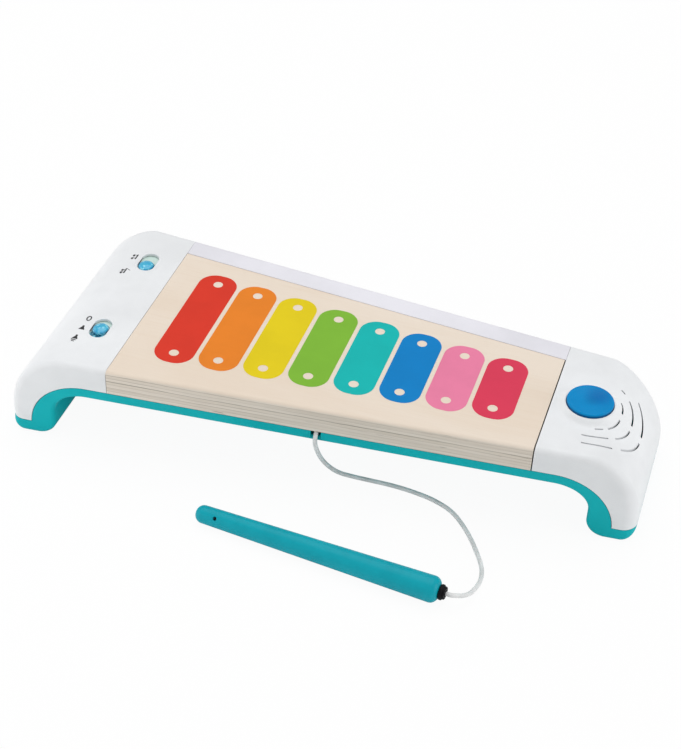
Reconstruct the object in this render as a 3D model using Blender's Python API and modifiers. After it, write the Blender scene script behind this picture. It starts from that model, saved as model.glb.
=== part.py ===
"""Toy touch xylophone: a plywood key panel on a moulded bench, with a stylus on a cord.

Metres, +Z up, the floor at z = 0. The toy stands lengthwise along X with its deep end at -X.
Shapes are worked out about the middle of the row of bars, and an empty called toy_frame
moves the whole toy so that the world origin is under the middle of it all.
"""
import math

import bmesh
import bpy
import numpy as np
from mathutils import Matrix, Vector

# Overall form of the bench
HALF_LENGTH = 0.2015
HEIGHT = 0.062
FRONT_MIDDLE = 0.0595
REAR_MIDDLE = 0.0703
TAPER_SHARE = 0.085
WALL = 0.0022
CLEARANCE = 0.0003
OVERRUN = 0.004

# Parting line between the white top and the coloured bottom
PARTING_DEPTH = 0.0174
PARTING_GAP = 0.0004
FOOT_SPLIT_RISE = 0.0005
PARTING_BASE_DROP = 0.0015
# Shares of the curved parting line that the rows of each shell reach
LEAD_PARTING_SHARE = 0.2
END_PARTING_SHARE = 0.97
ARCH_PARTING_SHARE = 0.62

# Outer curve of each end, from the flat top down to the foot
END_BASE_Z = 0.0133
TOP_EDGE_RADIUS = 0.006

# Under side of the bench
BELLY_DEPTH = 0.0074
BELLY_EDGE_RADIUS = 0.003
ARCH_SPRING_SHARE = 0.5376

# Shares of an end's length, from its seam: starts of its curves, their runs, and what stands in it
PARTING_BEND_SHARE = 0.2113
PARTING_RUN_SHARE = 0.5729
END_RUN_SHARE = 0.5506
ARCH_START_SHARE = 0.2039
ARCH_RUN_SHARE = 0.3423
FOOT_INNER_SHARE = 0.186
FOOT_OUTER_SHARE = 0.1339
LEG_EDGE_SHARE = 0.0744
END_EDGE_SHARE = 0.1786
SWITCH_SHARE = 0.308
BUTTON_SHARE = 0.3438
SPEAKER_SHARE = 0.2708
MAIN_BOARD_SHARE = 0.5461
SLOT_STEP_SHARE = 0.1042

# Plywood panel
PANEL_LENGTH_SHARE = 0.664
SEAM_GAP = 0.0005
PANEL_REAR_MIDDLE = 0.0530
PANEL_EDGE_RADIUS = 0.002
ROUND_PROFILE_SHARE = 0.5
PANEL_SKIN = 0.004
PANEL_RIM = 0.011
POCKET_CORNER_RADIUS = 0.006

# Rear strip
STRIP_WALL = 0.0022

# Printed bars
BAR_COUNT = 8
BAR_WIDTH_SHARE = 0.1958
BAR_SPACE_SHARE = 0.0209
LONGEST_BAR = 0.096
SHORTEST_BAR = 0.060
BAR_CORNER_SHARE = 0.878
DOT_RADIUS = 0.0032
DOT_FROM_END = 0.0097
PRINT_THICKNESS = 0.00025
PRINT_GAP = 0.00005

# Touch sensor under the panel
SENSOR_BOARD_THICKNESS = 0.0016
SENSOR_BOARD_EDGE = 0.003
SENSOR_SCREW_EDGE = 0.0035
SENSOR_SCREW_RADIUS = 0.0010
SENSOR_SCREW_HEAD_RADIUS = 0.0020
SENSOR_SCREW_HEAD = 0.0012
SENSOR_SCREW_BITE = 0.0024
SENSOR_SCREW_X_SHARE = 0.94

# Push button and its collar
BUTTON_Y = 0.0022
BUTTON_RADIUS = 0.0147
BUTTON_ABOVE = 0.0055
BUTTON_DISH = 0.0007
BUTTON_EDGE_RADIUS = 0.0012
BUTTON_WALL = 0.0018
BUTTON_FLANGE_RADIUS = 0.0163
BUTTON_FLANGE = 0.0012
BUTTON_FLANGE_DROP = 0.0028
BUTTON_STEM_RADIUS = 0.0030
BUTTON_CLEARANCE = 0.0004
DISH_SHARES = (0.5, 0.8, 1.0)
COLLAR_BASE_RADIUS = 0.0190
COLLAR_TOP_RADIUS = 0.0160
COLLAR_ABOVE = 0.0032
COLLAR_DEPTH = 0.0042
DOME_RADIUS = 0.0048
DOME_HEIGHT = 0.0022

# Sound slots around the button
SLOT_WIDTH = 0.0013
SLOT_RING_FIRST = 0.0203
SLOT_SQUARENESS = 2.35
SLOT_FACET_DEGREES = 6
SLOT_SPANS_DEGREES = (
    ((-70, -56), (-47, -14), (2, 34)),
    ((-89, -55), (-45, -11), (0, 40), (50, 57)),
    ((-87, -56), (-46, -9), (1, 41)),
)

# Sliding switches on the deep end
MODE_SWITCH_Y = 0.0455
POWER_SWITCH_Y = -0.0315
SWITCH_SLOT_LENGTH = 0.0195
SWITCH_SLOT_WIDTH = 0.0115
ROUND_END_SHARE = 0.98
EQUATOR_SHARE = -0.01
SWITCH_TRAVEL = 0.0075
KNOB_LENGTH = 0.0115
KNOB_WIDTH = 0.0104
KNOB_ABOVE = 0.0014
KNOB_SHOULDER = 0.0008
SLIDER_WIDTH = 0.0155
SLIDER_THICKNESS = 0.0010
SLIDER_GAP = 0.0004
SLIDER_COVER = 0.0015
PEG_LENGTH = 0.0030
PEG_WIDTH = 0.0020
PEG_DEPTH = 0.0025
SWITCH_CAN_WIDTH = 0.0090
SWITCH_CAN_LENGTH = 0.0160
SWITCH_CAN_TOP_GAP = 0.0005
SWITCH_CAN_SLOT_DEPTH = 0.0026
SWITCH_CAN_SLOT_SPARE = 0.0008
SWITCH_BOARD_WIDTH = 0.0200
SWITCH_BOARD_FRONT_Y = -0.0600
SWITCH_BOARD_REAR_Y = 0.0735
SWITCH_BOARD_DEPTH = 0.0104
SWITCH_BOSS_YS = (-0.0560, 0.0695)

# Circuit boards
BOARD_THICKNESS = 0.0016
MAIN_BOARD_DEPTH = 0.0117
MAIN_BOARD_FROM_SEAM = 0.0027
MAIN_BOARD_FRONT_Y = -0.0160
MAIN_BOARD_REAR_Y = 0.0400
MAIN_BOARD_HOLE_EDGE = 0.0040
BOARD_BOSS_RADIUS = 0.0028
BOARD_SCREW_RADIUS = 0.0010
BOARD_SCREW_HEAD_RADIUS = 0.0022
BOARD_SCREW_HEAD = 0.0014
BOARD_SCREW_BITE = 0.0050
BOARD_HOLE_SPARE = 0.0005
CHIP_SHARE = 0.3235
CHIP_Y = 0.0140
CHIP_SIZE = 0.0100
CHIP_HEIGHT = 0.0014
CAPACITOR_SHARES = (0.2647, 0.5147)
CAPACITOR_YS = (0.0280, 0.0290)
CAPACITOR_RADIUS = 0.0032
CAPACITOR_HEIGHT = 0.0050
CONNECTOR_SHARE = 0.7941
CONNECTOR_Y = 0.0250
CONNECTOR_LENGTH = 0.0090
CONNECTOR_WIDTH = 0.0045
CONNECTOR_HEIGHT = 0.0042

# Speaker
SPEAKER_Y = -0.0200
SPEAKER_RADIUS = 0.0165
SPEAKER_FLANGE = 0.0010
SPEAKER_BASKET_RADIUS = 0.0080
SPEAKER_BASKET_DEPTH = 0.0032
SPEAKER_THROAT = 0.0016
SPEAKER_METAL = 0.0006
SPEAKER_MAGNET_RADIUS = 0.0072
SPEAKER_MAGNET_HEIGHT = 0.0016
SPEAKER_SEAT_BELOW_TOP = 0.0170
SPEAKER_SEAT_RADIUS = 0.0162
SPEAKER_SEAT_WALL = 0.0016
CONE_THICKNESS = 0.0005
CONE_DEPTH = 0.0012
CONE_CAP_RADIUS = 0.0040
CONE_CAP_RISE = 0.0008
CONE_GAP = 0.0004

# Battery compartment
BATTERY_COUNT = 3
BATTERY_RADIUS = 0.00525
BATTERY_LENGTH = 0.0435
BATTERY_TIP_RADIUS = 0.0018
BATTERY_TIP = 0.0010
BATTERY_EDGE = 0.0004
BATTERY_SPACE = 0.0008
BATTERY_Y = 0.0050
BAY_CONTACT_SPACE = 0.0080
BAY_SIDE_SPACE = 0.0004
BAY_WALL = 0.0016
BAY_LEDGE = 0.0040
DOOR_THICKNESS = 0.0022
DOOR_CORNER_RADIUS = 0.0030
DOOR_TAB_RADIUS = 0.0060
DOOR_PAD_EDGE = 0.0020
DOOR_PAD_LEDGE = 0.0016
DOOR_SCREW_RADIUS = 0.0013
DOOR_SCREW_HEAD_RADIUS = 0.0026
DOOR_SCREW_HEAD = 0.0012
DOOR_SCREW_LENGTH = 0.0080
CONTACT_THICKNESS = 0.0005
CONTACT_SIZE = 0.0085
CONTACT_SPRING_WIRE = 0.0005
CONTACT_SPRING_TURNS = 3
CONTACT_SPRING_WIDE_RADIUS = 0.0034
CONTACT_SPRING_NARROW_RADIUS = 0.0018

# Housing screws and their bosses
BOSS_RADIUS = 0.0030
BOSS_FROM_SEAM = 0.0052
BOSS_FROM_EDGE = 0.0120
FOOT_BOSS_FROM_EDGE = 0.0180
WELL_RADIUS = 0.0043
WELL_BORE_RADIUS = 0.0033
WELL_LEDGE_DEPTH = 0.0038
WELL_WALL = 0.0022
FOOT_WELL_DEPTH = 0.0080
SCREW_RADIUS = 0.0013
SCREW_HOLE_SPARE = 0.0004
SCREW_HEAD_RADIUS = 0.0028
SCREW_HEAD = 0.0018
SCREW_LENGTH = 0.0120
RECESS_WIDTH_SHARE = 0.22
RECESS_LENGTH_SHARE = 1.2
RECESS_DEPTH_SHARE = 0.6
PANEL_SCREW_FROM_EDGE = 0.0068
PANEL_SCREW_SHARE = 0.82

# Cord, where it leaves the bench, and its clamp inside
CORD_RADIUS = 0.0014
CORD_X = 0.0007
NOTCH_WIDTH = 0.0065
NOTCH_DEPTH = 0.0036
NOTCH_LIP_DROP = 0.0022
CLAMP_LENGTH = 0.0070
CLAMP_WIDTH = 0.0110
CLAMP_FROM_WALL = 0.0050
CORD_START_DROP = 0.0016
CORD_BEND_POINTS = 8
CORD_BEND_SHARE = 0.055
CORD_LONG_POINTS = 44
# Route of the cord in metres from the middle of the bars, chosen by hand, and the heights of the
# floor stretch and of the parting line that it was drawn to
CORD_LIE_Z = 0.0015
CORD_DRAWN_PARTING_Z = 0.0446
CORD_ROUTE = (
    (0.0007, -0.0580, 0.0426),
    (0.0009, -0.0602, 0.0412),
    (0.0011, -0.0615, 0.0392),
    (0.0014, -0.0620, 0.0366),
    (0.0026, -0.0607, 0.0300),
    (0.0048, -0.0575, 0.0210),
    (0.0084, -0.0530, 0.0120),
    (0.0136, -0.0488, 0.0050),
    (0.0210, -0.0462, 0.0019),
    (0.0330, -0.0455, 0.0015),
    (0.0490, -0.0452, 0.0015),
    (0.0635, -0.0464, 0.0015),
    (0.0775, -0.0494, 0.0015),
    (0.0900, -0.0554, 0.0015),
    (0.1022, -0.0677, 0.0015),
    (0.1124, -0.0825, 0.0015),
    (0.1193, -0.0957, 0.0015),
    (0.1210, -0.1050, 0.0017),
    (0.1199, -0.1140, 0.0028),
    (0.1165, -0.1230, 0.0052),
)
CORD_COLLAR_LEAD = 0.0030

# Stylus on the floor in front of the bench
STYLUS_TIP_X = -0.0572
STYLUS_TIP_Y = -0.1131
STYLUS_YAW_DEGREES = -5.5
STYLUS_LENGTH = 0.158
STYLUS_TIP_RADIUS = 0.0057
STYLUS_END_RADIUS = 0.0082
STYLUS_TIP_ROUND = 0.0050
STYLUS_END_ROUND = 0.0040
STYLUS_HOLE_FROM_TIP = 0.0145
STYLUS_HOLE_RADIUS = 0.0013
STYLUS_HOLE_DEPTH = 0.0080
STYLUS_HOLE_TILT_DEGREES = 48
STYLUS_PIN_LENGTH = 0.0035
STYLUS_BORE_RADIUS = 0.0030
STYLUS_BORE_DEPTH = 0.0090
COLLAR_RING_RADIUS = 0.0048
COLLAR_RING_LENGTH = 0.0052
COLLAR_GROOVE = 0.0008
GROOVE_SHARES = (0.35, 0.6)
COLLAR_SPIGOT_LENGTH = 0.0080

# Facets
ROUND_STEPS = 24
SMALL_STEPS = 12
EDGE_STEPS = 4
END_STEPS = 10
ARCH_STEPS = 6
FOOT_STEPS = 4
SPRING_POINTS_PER_TURN = 9
SMOOTH_ANGLE_DEGREES = 32
MERGE_DISTANCE = 0.00001

# Colours as sRGB bytes, then roughness and metallic
FINISHES = {
    "white_plastic": ((232, 235, 238), 0.32, 0.0),
    "frosted_plastic": ((228, 227, 236), 0.42, 0.0),
    "teal_plastic": ((20, 165, 170), 0.34, 0.0),
    "plywood": ((231, 217, 200), 0.55, 0.0),
    "red_print": ((216, 70, 56), 0.35, 0.0),
    "orange_print": ((230, 134, 54), 0.35, 0.0),
    "yellow_print": ((223, 202, 46), 0.35, 0.0),
    "green_print": ((136, 182, 70), 0.35, 0.0),
    "teal_print": ((48, 182, 178), 0.35, 0.0),
    "blue_print": ((17, 129, 196), 0.35, 0.0),
    "pink_print": ((230, 132, 164), 0.35, 0.0),
    "crimson_print": ((219, 70, 98), 0.35, 0.0),
    "blue_plastic": ((15, 125, 200), 0.30, 0.0),
    "clear_blue_plastic": ((60, 180, 220), 0.18, 0.0),
    "teal_paint": ((18, 155, 168), 0.38, 0.0),
    "black_rubber": ((28, 27, 30), 0.60, 0.0),
    "white_cord": ((220, 222, 222), 0.40, 0.0),
    "circuit_board": ((30, 96, 52), 0.50, 0.0),
    "steel": ((180, 182, 186), 0.30, 1.0),
    "zinc": ((150, 154, 160), 0.38, 1.0),
    "black_plastic": ((36, 36, 40), 0.45, 0.0),
    "silicone": ((205, 205, 200), 0.60, 0.0),
    "ferrite": ((70, 70, 74), 0.55, 0.0),
    "battery_wrap": ((64, 70, 88), 0.35, 0.2),
}
BAR_FINISHES = ("red_print", "orange_print", "yellow_print", "green_print",
                "teal_print", "blue_print", "pink_print", "crimson_print")

# Sizes that follow from the ones above
PANEL_HALF_LENGTH = HALF_LENGTH * PANEL_LENGTH_SHARE
SEAM_X = PANEL_HALF_LENGTH + SEAM_GAP
END_LENGTH = HALF_LENGTH - SEAM_X
PARTING_Z = HEIGHT - PARTING_DEPTH
PARTING_BEND_X = SEAM_X + END_LENGTH * PARTING_BEND_SHARE
PARTING_BEND_RUN = END_LENGTH * PARTING_RUN_SHARE
END_RUN = END_LENGTH * END_RUN_SHARE
END_DROP = HEIGHT - END_BASE_Z
END_START_X = HALF_LENGTH - END_RUN
BELLY_Z = PARTING_Z - BELLY_DEPTH
ARCH_START_X = SEAM_X + END_LENGTH * ARCH_START_SHARE
ARCH_RUN = END_LENGTH * ARCH_RUN_SHARE
ARCH_SPRING_Z = BELLY_Z * ARCH_SPRING_SHARE
FOOT_INNER_RADIUS = END_LENGTH * FOOT_INNER_SHARE
FOOT_OUTER_RADIUS = END_LENGTH * FOOT_OUTER_SHARE
FOOT_CORNER_RADIUS = FOOT_OUTER_RADIUS
FOOT_SPLIT_Z = FOOT_OUTER_RADIUS + FOOT_SPLIT_RISE
PARTING_BEND_BASE_Z = FOOT_SPLIT_Z - PARTING_BASE_DROP
LEG_EDGE_RADIUS = END_LENGTH * LEG_EDGE_SHARE
END_EDGE_RADIUS = END_LENGTH * END_EDGE_SHARE
BAR_WIDTH = PANEL_HALF_LENGTH * BAR_WIDTH_SHARE
BAR_SPACE = PANEL_HALF_LENGTH * BAR_SPACE_SHARE
BAR_PITCH = BAR_WIDTH + BAR_SPACE
BAR_CORNER_RADIUS = BAR_WIDTH / 2 * BAR_CORNER_SHARE
BUTTON_X = SEAM_X + END_LENGTH * BUTTON_SHARE
SLOT_RING_STEP = END_LENGTH * SLOT_STEP_SHARE
SWITCH_X = SEAM_X + END_LENGTH * SWITCH_SHARE
SWITCH_BOARD_TOP_Z = HEIGHT - SWITCH_BOARD_DEPTH
MAIN_BOARD_TOP_Z = HEIGHT - MAIN_BOARD_DEPTH
MAIN_BOARD_INNER_X = SEAM_X + MAIN_BOARD_FROM_SEAM
MAIN_BOARD_OUTER_X = SEAM_X + END_LENGTH * MAIN_BOARD_SHARE
MAIN_BOARD_LENGTH = MAIN_BOARD_OUTER_X - MAIN_BOARD_INNER_X
SPEAKER_X = SEAM_X + END_LENGTH * SPEAKER_SHARE
SPEAKER_SEAT_Z = HEIGHT - SPEAKER_SEAT_BELOW_TOP
BOSS_X = SEAM_X + BOSS_FROM_SEAM
CORD_START_Z = PARTING_Z - CORD_START_DROP
PANEL_BOTTOM_Z = PARTING_Z - PARTING_GAP / 2 + CLEARANCE
SKIN_Z = HEIGHT - PANEL_SKIN
SENSOR_BOARD_TOP_Z = SKIN_Z - CLEARANCE
UNDER_TOP_Z = HEIGHT - WALL
FLOOR_INSIDE_Z = BELLY_Z + WALL
FOOT_FLAT_OUTER_X = HALF_LENGTH - FOOT_OUTER_RADIUS
LEG_INNER_X = ARCH_START_X + ARCH_RUN
FOOT_FLAT_INNER_X = LEG_INNER_X + FOOT_INNER_RADIUS
FOOT_BOSS_X = (FOOT_FLAT_INNER_X + FOOT_FLAT_OUTER_X) / 2
BAY_LENGTH = BATTERY_LENGTH + BAY_CONTACT_SPACE
BAY_WIDTH = BATTERY_COUNT * (2 * BATTERY_RADIUS + BATTERY_SPACE) + BAY_SIDE_SPACE
BATTERY_AXIS_Z = BELLY_Z + DOOR_THICKNESS + CLEARANCE + BATTERY_RADIUS
BAY_ROOF_Z = BATTERY_AXIS_Z + BATTERY_RADIUS + CLEARANCE
DOOR_LENGTH = BAY_LENGTH + 2 * BAY_LEDGE
DOOR_WIDTH = BAY_WIDTH + 2 * BAY_LEDGE
DOOR_SCREW_X = DOOR_LENGTH / 2 + DOOR_TAB_RADIUS / 3
DOOR_BOSS_TOP_Z = BELLY_Z + DOOR_THICKNESS + DOOR_SCREW_LENGTH
STYLUS_TILT = math.atan2(STYLUS_END_RADIUS - STYLUS_TIP_RADIUS,
                         STYLUS_LENGTH - STYLUS_TIP_ROUND - STYLUS_END_ROUND)
STYLUS_TIP_Z = (STYLUS_TIP_RADIUS * math.cos(STYLUS_TILT)
                - STYLUS_TIP_ROUND * math.sin(STYLUS_TILT))


def start_clean():
    """Remove what the file already holds."""
    for item in list(bpy.data.objects):
        bpy.data.objects.remove(item, do_unlink=True)
    for group in list(bpy.data.collections):
        bpy.data.collections.remove(group)


start_clean()
PARTS = bpy.data.collections.new("toy_xylophone")
CUTTERS = bpy.data.collections.new("cutters")
bpy.context.scene.collection.children.link(PARTS)
bpy.context.scene.collection.children.link(CUTTERS)
TOY_FRAME = bpy.data.objects.new("toy_frame", None)
PARTS.objects.link(TOY_FRAME)


def linear(byte):
    """One sRGB byte as the linear value that a shader takes."""
    share = byte / 255
    if share <= 0.04045:
        return share / 12.92
    return ((share + 0.055) / 1.055) ** 2.4


def finish(name):
    """The material of a finish, made once."""
    if name in bpy.data.materials:
        return bpy.data.materials[name]
    colour, roughness, metallic = FINISHES[name]
    made = bpy.data.materials.new(name)
    made.use_nodes = True
    shader = made.node_tree.nodes["Principled BSDF"]
    shader.inputs["Base Color"].default_value = (*(linear(c) for c in colour), 1)
    shader.inputs["Roughness"].default_value = roughness
    shader.inputs["Metallic"].default_value = metallic
    return made


def add_object(name, mesh, finish_name=None, parent=TOY_FRAME, smooth=True):
    """A named piece with its finish, or a cutter when it has none."""
    item = bpy.data.objects.new(name, mesh)
    item.parent = parent
    if finish_name is None:
        CUTTERS.objects.link(item)
        item.hide_render = True
        item.display_type = "WIRE"
        return item
    PARTS.objects.link(item)
    mesh.materials.append(finish(finish_name))
    if smooth:
        mesh.shade_smooth()
        mesh.set_sharp_from_angle(angle=math.radians(SMOOTH_ANGLE_DEGREES))
    return item


def mesh_from(bm, name):
    """Close a bmesh into a mesh whose faces point out."""
    bmesh.ops.recalc_face_normals(bm, faces=bm.faces)
    mesh = bpy.data.meshes.new(name)
    bm.to_mesh(mesh)
    bm.free()
    return mesh


def add_box(bm, low, high):
    """A box between two corners."""
    low = Vector(low)
    high = Vector(high)
    made = bmesh.ops.create_cube(bm, size=1)
    place = Matrix.Translation((low + high) / 2) @ Matrix.Diagonal((*(high - low), 1))
    bmesh.ops.transform(bm, matrix=place, verts=made["verts"])


def prism(bm, outline, along):
    """A flat outline of points drawn along a vector."""
    face = bm.faces.new([bm.verts.new(point) for point in outline])
    raised = bmesh.ops.extrude_face_region(bm, geom=[face])["geom"]
    moved = [item for item in raised if isinstance(item, bmesh.types.BMVert)]
    bmesh.ops.translate(bm, vec=along, verts=moved)
    return moved


def plate(bm, outline, low, high):
    """An outline in X and Y between two heights."""
    return prism(bm, [(x, y, low) for x, y in outline], (0, 0, high - low))


def round_corners(corners, radius, steps=EDGE_STEPS):
    """A convex outline, given anticlockwise, with its corners rounded."""
    outline = []
    count = len(corners)
    for index in range(count):
        corner = Vector(corners[index])
        before = (Vector(corners[index - 1]) - corner).normalized()
        after = (Vector(corners[(index + 1) % count]) - corner).normalized()
        half = before.angle(after) / 2
        centre = corner + (before + after).normalized() * radius / math.sin(half)
        start = Vector((-before.y, before.x))
        turn = math.pi - 2 * half
        for step in range(steps + 1):
            angle = turn * step / steps
            spoke = Vector((start.x * math.cos(angle) - start.y * math.sin(angle),
                            start.x * math.sin(angle) + start.y * math.cos(angle)))
            point = centre + spoke * radius
            outline.append((point.x, point.y))
    return outline


def add_cylinder(bm, x, y, low, high, radius, steps=SMALL_STEPS):
    """An upright cylinder from low to high."""
    made = bmesh.ops.create_cone(bm, cap_ends=True, segments=steps, radius1=radius, radius2=radius,
                                 depth=high - low)
    bmesh.ops.translate(bm, vec=(x, y, (low + high) / 2), verts=made["verts"])
    return made["verts"]


def boolean(target, tool, operation):
    """Cut a tool from a piece, or join it on."""
    step = target.modifiers.new(tool.name, "BOOLEAN")
    step.operation = operation
    step.solver = "EXACT"
    step.object = tool


def cut(target, tool):
    boolean(target, tool, "DIFFERENCE")


def join(target, tool):
    boolean(target, tool, "UNION")


def turned(name, profile, finish_name, place=(0, 0, 0), steps=ROUND_STEPS, **options):
    """A profile in X and Z, down its outer side, turned about Z."""
    bm = bmesh.new()
    verts = [bm.verts.new((x, 0, z)) for x, z in profile]
    for first, second in zip(verts, verts[1:]):
        bm.edges.new((first, second))
    mesh = bpy.data.meshes.new(name)
    bm.to_mesh(mesh)
    bm.free()
    item = add_object(name, mesh, finish_name, smooth=False, **options)
    screw = item.modifiers.new("turn", "SCREW")
    screw.steps = steps
    screw.render_steps = steps
    screw.use_merge_vertices = True
    screw.merge_threshold = MERGE_DISTANCE
    screw.use_smooth_shade = True
    item.location = place
    return item


def rounded_edge(radius, height, edge_radius, start=90, end=0, steps=EDGE_STEPS):
    """Profile points round an outer edge whose sides meet at a radius and a height."""
    points = []
    for degrees in np.linspace(start, end, steps + 1):
        angle = math.radians(degrees)
        drop = edge_radius if start > 0 else -edge_radius
        points.append((radius - edge_radius + edge_radius * math.cos(angle),
                       height - drop + edge_radius * math.sin(angle)))
    return points


def set_origin(item, point):
    """Move an object's origin to a point and leave its shape where it is."""
    item.data.transform(Matrix.Translation(-Vector(point)))
    item.location = point


def front_y(x):
    """The front face of the bench, nearer the middle towards the shallow end."""
    return -FRONT_MIDDLE + TAPER_SHARE * x


def rear_y(x):
    return REAR_MIDDLE - TAPER_SHARE * x


def panel_rear_y(x):
    return PANEL_REAR_MIDDLE - TAPER_SHARE * x


def arc(centre_x, centre_z, run, rise, start, end, steps, outward=1):
    """Stations (x, z, normal x, normal z) on an elliptical arc, angles in degrees."""
    stations = []
    for degrees in np.linspace(start, end, steps + 1):
        angle = math.radians(degrees)
        normal = Vector((math.cos(angle) / run, math.sin(angle) / rise)).normalized() * outward
        x = centre_x + run * math.cos(angle)
        z = centre_z + rise * math.sin(angle)
        stations.append((x, z, normal.x, normal.y))
    return stations


def parting_point(turn_share, shift):
    """A point on the curved parting line, moved out by shift; share 0 at the top, 1 at the foot."""
    rise = PARTING_Z - PARTING_BEND_BASE_Z + shift
    run = PARTING_BEND_RUN + shift
    foot_angle = math.asin((FOOT_SPLIT_Z + shift - PARTING_BEND_BASE_Z) / rise)
    angle = math.pi / 2 + (foot_angle - math.pi / 2) * turn_share
    return PARTING_BEND_X + run * math.cos(angle), PARTING_BEND_BASE_Z + rise * math.sin(angle)


def section(station, partner, edge_radius, side):
    """Points across the bench at one station, from the front parting edge to the rear one."""
    x, z, normal_x, normal_z = station
    half = []
    half.append((partner[0], partner[1], 0))
    for step in range(EDGE_STEPS + 1):
        angle = math.pi / 2 * step / EDGE_STEPS
        sink = edge_radius * (1 - math.sin(angle))
        half.append((x - sink * normal_x, z - sink * normal_z, edge_radius * (1 - math.cos(angle))))
    front = [(side * px, front_y(side * px) + inset, pz) for px, pz, inset in half]
    rear = [(side * px, rear_y(side * px) - inset, pz) for px, pz, inset in half]
    return front + rear[::-1]


def skin(name, rows, flip):
    """A surface through rows of points; flip turns its faces round."""
    bm = bmesh.new()
    grid = [[bm.verts.new(point) for point in row] for row in rows]
    for row, following in zip(grid, grid[1:]):
        for a, b, c, d in zip(row, following, following[1:], row[1:]):
            bm.faces.new((d, c, b, a) if flip else (a, b, c, d))
    bmesh.ops.remove_doubles(bm, verts=bm.verts, dist=MERGE_DISTANCE)
    mesh = bpy.data.meshes.new(name)
    bm.to_mesh(mesh)
    bm.free()
    return mesh


def thicken(item, wall):
    """Give a skin its wall, on the inner side."""
    shell = item.modifiers.new("wall", "SOLIDIFY")
    shell.thickness = wall
    shell.offset = -1
    shell.use_even_offset = True
    shell.use_quality_normals = True


def section_rows(stations, knots, shares, gap, side):
    """Sections at the stations, joined to the curved parting line by shares of its length."""
    partners = np.interp(range(len(stations)), knots, shares)
    return [section(station, parting_point(share, gap), radius, side)
            for (station, radius), share in zip(stations, partners)]


def end_cap_rows(side):
    """Sections of a white end, from its seam over the top and down to the foot."""
    gap = PARTING_GAP / 2
    seam = section((SEAM_X, HEIGHT, 0, 1), (SEAM_X, PARTING_Z + gap), TOP_EDGE_RADIUS, side)
    middle_x = (PARTING_BEND_X + END_START_X) / 2
    stations = [((x, HEIGHT, 0, 1), TOP_EDGE_RADIUS) for x in (PARTING_BEND_X, middle_x)]
    curve = arc(END_START_X, END_BASE_Z, END_RUN, END_DROP, 90, 0, END_STEPS)
    for step, station in enumerate(curve):
        share = step / END_STEPS
        swell = math.sin(math.pi * share) * (END_EDGE_RADIUS - TOP_EDGE_RADIUS)
        radius = TOP_EDGE_RADIUS + (FOOT_CORNER_RADIUS - TOP_EDGE_RADIUS) * share + swell
        stations.append((station, radius))
    stations.append(((HALF_LENGTH, FOOT_SPLIT_Z + gap, 1, 0), FOOT_CORNER_RADIUS))
    last = len(stations) - 1
    knots = (0, 2, last - 1, last)
    shares = (0, LEAD_PARTING_SHARE, END_PARTING_SHARE, 1)
    return [seam] + section_rows(stations, knots, shares, gap, side)


def bottom_half_rows(side):
    """Sections of the coloured bottom, from the middle of its belly to the outside of a foot."""
    gap = -PARTING_GAP / 2
    rows = [section((x, BELLY_Z, 0, -1), (x, PARTING_Z + gap), BELLY_EDGE_RADIUS, side)
            for x in (0, PANEL_HALF_LENGTH)]
    arch = arc(ARCH_START_X, ARCH_SPRING_Z, ARCH_RUN, BELLY_Z - ARCH_SPRING_Z, 90, 0, ARCH_STEPS, -1)
    heel = arc(FOOT_FLAT_INNER_X, FOOT_INNER_RADIUS, FOOT_INNER_RADIUS, FOOT_INNER_RADIUS,
               180, 270, FOOT_STEPS)
    toe = arc(FOOT_FLAT_OUTER_X, FOOT_OUTER_RADIUS, FOOT_OUTER_RADIUS, FOOT_OUTER_RADIUS,
              270, 360, FOOT_STEPS)
    grow = LEG_EDGE_RADIUS - BELLY_EDGE_RADIUS
    stations = [(station, BELLY_EDGE_RADIUS + grow * step / ARCH_STEPS)
                for step, station in enumerate(arch)]
    stations += [(station, LEG_EDGE_RADIUS) for station in heel]
    grow = FOOT_CORNER_RADIUS - LEG_EDGE_RADIUS
    stations += [(station, LEG_EDGE_RADIUS + grow * step / FOOT_STEPS)
                 for step, station in enumerate(toe)]
    stations.append(((HALF_LENGTH, FOOT_SPLIT_Z + gap, 1, 0), FOOT_CORNER_RADIUS))
    last = len(stations) - 1
    knots = (0, ARCH_STEPS, ARCH_STEPS + 1 + FOOT_STEPS, last)
    shares = (0, ARCH_PARTING_SHARE, 1, 1)
    return rows + section_rows(stations, knots, shares, gap, side)


def panel_screw_places():
    """Where the panel's screws stand, in the corners of its rim."""
    places = []
    for sign in (-1, 1):
        x = sign * PANEL_SCREW_SHARE * PANEL_HALF_LENGTH
        places.append((x, front_y(x) + PANEL_SCREW_FROM_EDGE))
        places.append((x, panel_rear_y(x) - PANEL_SCREW_FROM_EDGE))
    return places


def end_screw_places(side, station_x, from_edge):
    """A screw near the front edge and one near the rear edge of an end."""
    x = side * station_x
    return [(x, front_y(x) + from_edge), (x, rear_y(x) - from_edge)]


def board_boss_places(side):
    """The two posts for the board under an end, with the height of the board's top."""
    if side < 0:
        return [(-SWITCH_X, y, SWITCH_BOARD_TOP_Z) for y in SWITCH_BOSS_YS]
    edge = MAIN_BOARD_HOLE_EDGE
    return [(MAIN_BOARD_INNER_X + edge, MAIN_BOARD_FRONT_Y + edge, MAIN_BOARD_TOP_Z),
            (MAIN_BOARD_OUTER_X - edge, MAIN_BOARD_REAR_Y - edge, MAIN_BOARD_TOP_Z)]


def end_surface_z(x):
    """Height of the outside of an end over a point."""
    share = min(max((abs(x) - END_START_X) / END_RUN, 0), 1)
    return END_BASE_Z + END_DROP * math.sqrt(1 - share * share)


def belly_z(x, depth):
    """Height at a depth inside the belly's wall over a point: level, then down the arch."""
    share = min(max((abs(x) - ARCH_START_X) / (ARCH_RUN + depth), 0), 1)
    return ARCH_SPRING_Z + (BELLY_Z + depth - ARCH_SPRING_Z) * math.sqrt(1 - share * share)


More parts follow.
